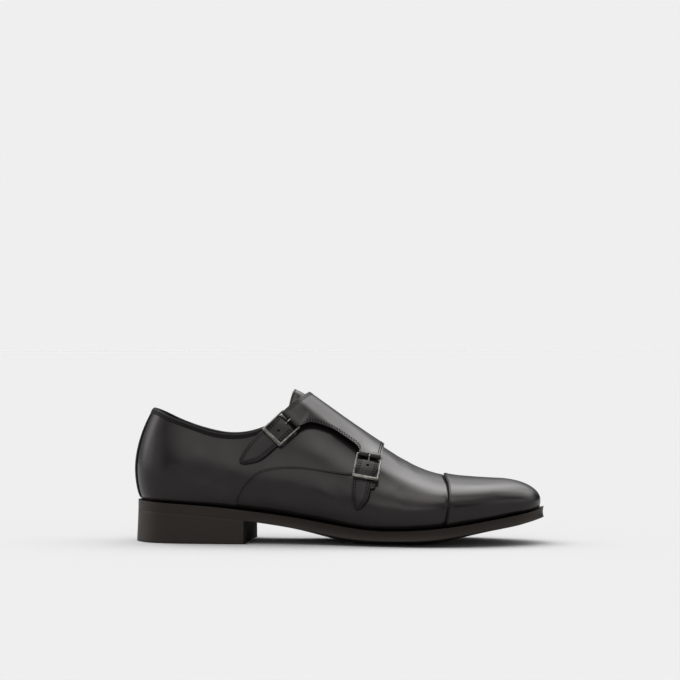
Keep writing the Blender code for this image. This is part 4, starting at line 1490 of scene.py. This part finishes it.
for name in STRAP_ROWS:
    rows = [row_round_strap(name, inset) for inset in ROW_INSETS]
    sew(f"{name}_strap_stitches", rows, matt_thread, size=COARSE)


# The studio. A pale floor that runs into a pale backdrop. Soft boxes hang all round: the brightest
# stand high behind the heel's side, and the camera's side is dim, so that the shoe's side reads dark.

FLOOR_DROP, FLOOR_REACH = 0.0001, 30.0
PALE = 0.863
FLOOR_SHADE = 0.262
BOX_EDGE = math.cos(math.radians(28))

# Each ring of boxes: its height and first bearing, the step between boxes, and their brightness.
SOFT_BOXES = (
    (8, 0, 30, (1.27, 0, 1.22, 0.95, 0, 0, 0, 0, 0.30, 1.67, 1.15, 0)),
    (28, 15, 30, (0, 0.59, 0, 1.0, 0, 0.35, 0.2, 0, 1.5, 0, 0, 1.50)),
    (48, 0, 36, (0.08, 0.52, 0, 2.94, 2.57, 1.29, 1.45, 3.5, 1.35, 0)),
    (68, 0, 60, (3.19, 0.08, 0.55, 4.33, 6.73, 1.81)),
)
floor_mesh = bpy.data.meshes.new("floor")
builder = bmesh.new()
bmesh.ops.create_grid(builder, x_segments=1, y_segments=1, size=FLOOR_REACH)
slide(builder, (0.0, 0.0, -FLOOR_DROP))
builder.to_mesh(floor_mesh)
builder.free()
floor = bpy.data.objects.new("floor", floor_mesh)
bpy.context.scene.collection.objects.link(floor)
paper = bpy.data.materials.new("paper")
paper.use_nodes = True
matt = {"Base Color": (FLOOR_SHADE,) * 3, "Roughness": 0.9, "Specular IOR Level": 0.0}
feed(paper.node_tree, paper.node_tree.nodes["Principled BSDF"], matt)
floor.data.materials.append(paper)

world = bpy.data.worlds.new("studio")
bpy.context.scene.world = world
world.use_nodes = True
tree = world.node_tree
direction = tree.nodes.new("ShaderNodeTexCoord").outputs["Generated"]
lit = 0.0
for height, start, step, levels in SOFT_BOXES:
    rise = math.radians(height)
    for turn, level in enumerate(levels):
        if level:
            bearing = math.radians(start + turn * step)
            flat = math.cos(rise)
            aim = (math.sin(bearing) * flat, -math.cos(bearing) * flat, math.sin(rise))
            towards = add_node(tree, "VectorMath", {0: direction, 1: aim})
            towards.operation = "DOT_PRODUCT"
            reach = {"Value": towards.outputs["Value"], "From Min": BOX_EDGE, "To Max": level}
            glow = add_node(tree, "MapRange", reach)
            glow.interpolation_type = "SMOOTHSTEP"
            lit = reckon(tree, "ADD", lit, glow.outputs["Result"])
seen = tree.nodes.new("ShaderNodeLightPath").outputs["Is Camera Ray"]
feed(tree, tree.nodes["Background"], {"Color": blend(tree, seen, lit, (PALE, PALE, PALE))})

CAMERA_TURN = math.radians(5.7)
CAMERA_DISTANCE, CAMERA_ASIDE, CAMERA_HEIGHT = 1680.0, 1.25, 148.7
CAMERA_LENS = 120.2
camera_data = bpy.data.cameras.new("camera")
camera_data.lens = CAMERA_LENS
camera = bpy.data.objects.new("camera", camera_data)
camera.location = (
    (CAMERA_ASIDE + CAMERA_DISTANCE * math.sin(CAMERA_TURN)) * MM,
    (SIDE_OFFSET - CAMERA_DISTANCE * math.cos(CAMERA_TURN)) * MM,
    CAMERA_HEIGHT * MM,
)
camera.rotation_euler = (math.radians(90), 0.0, CAMERA_TURN)
bpy.context.scene.collection.objects.link(camera)
bpy.context.scene.camera = camera
bpy.context.scene.view_settings.view_transform = "Standard"
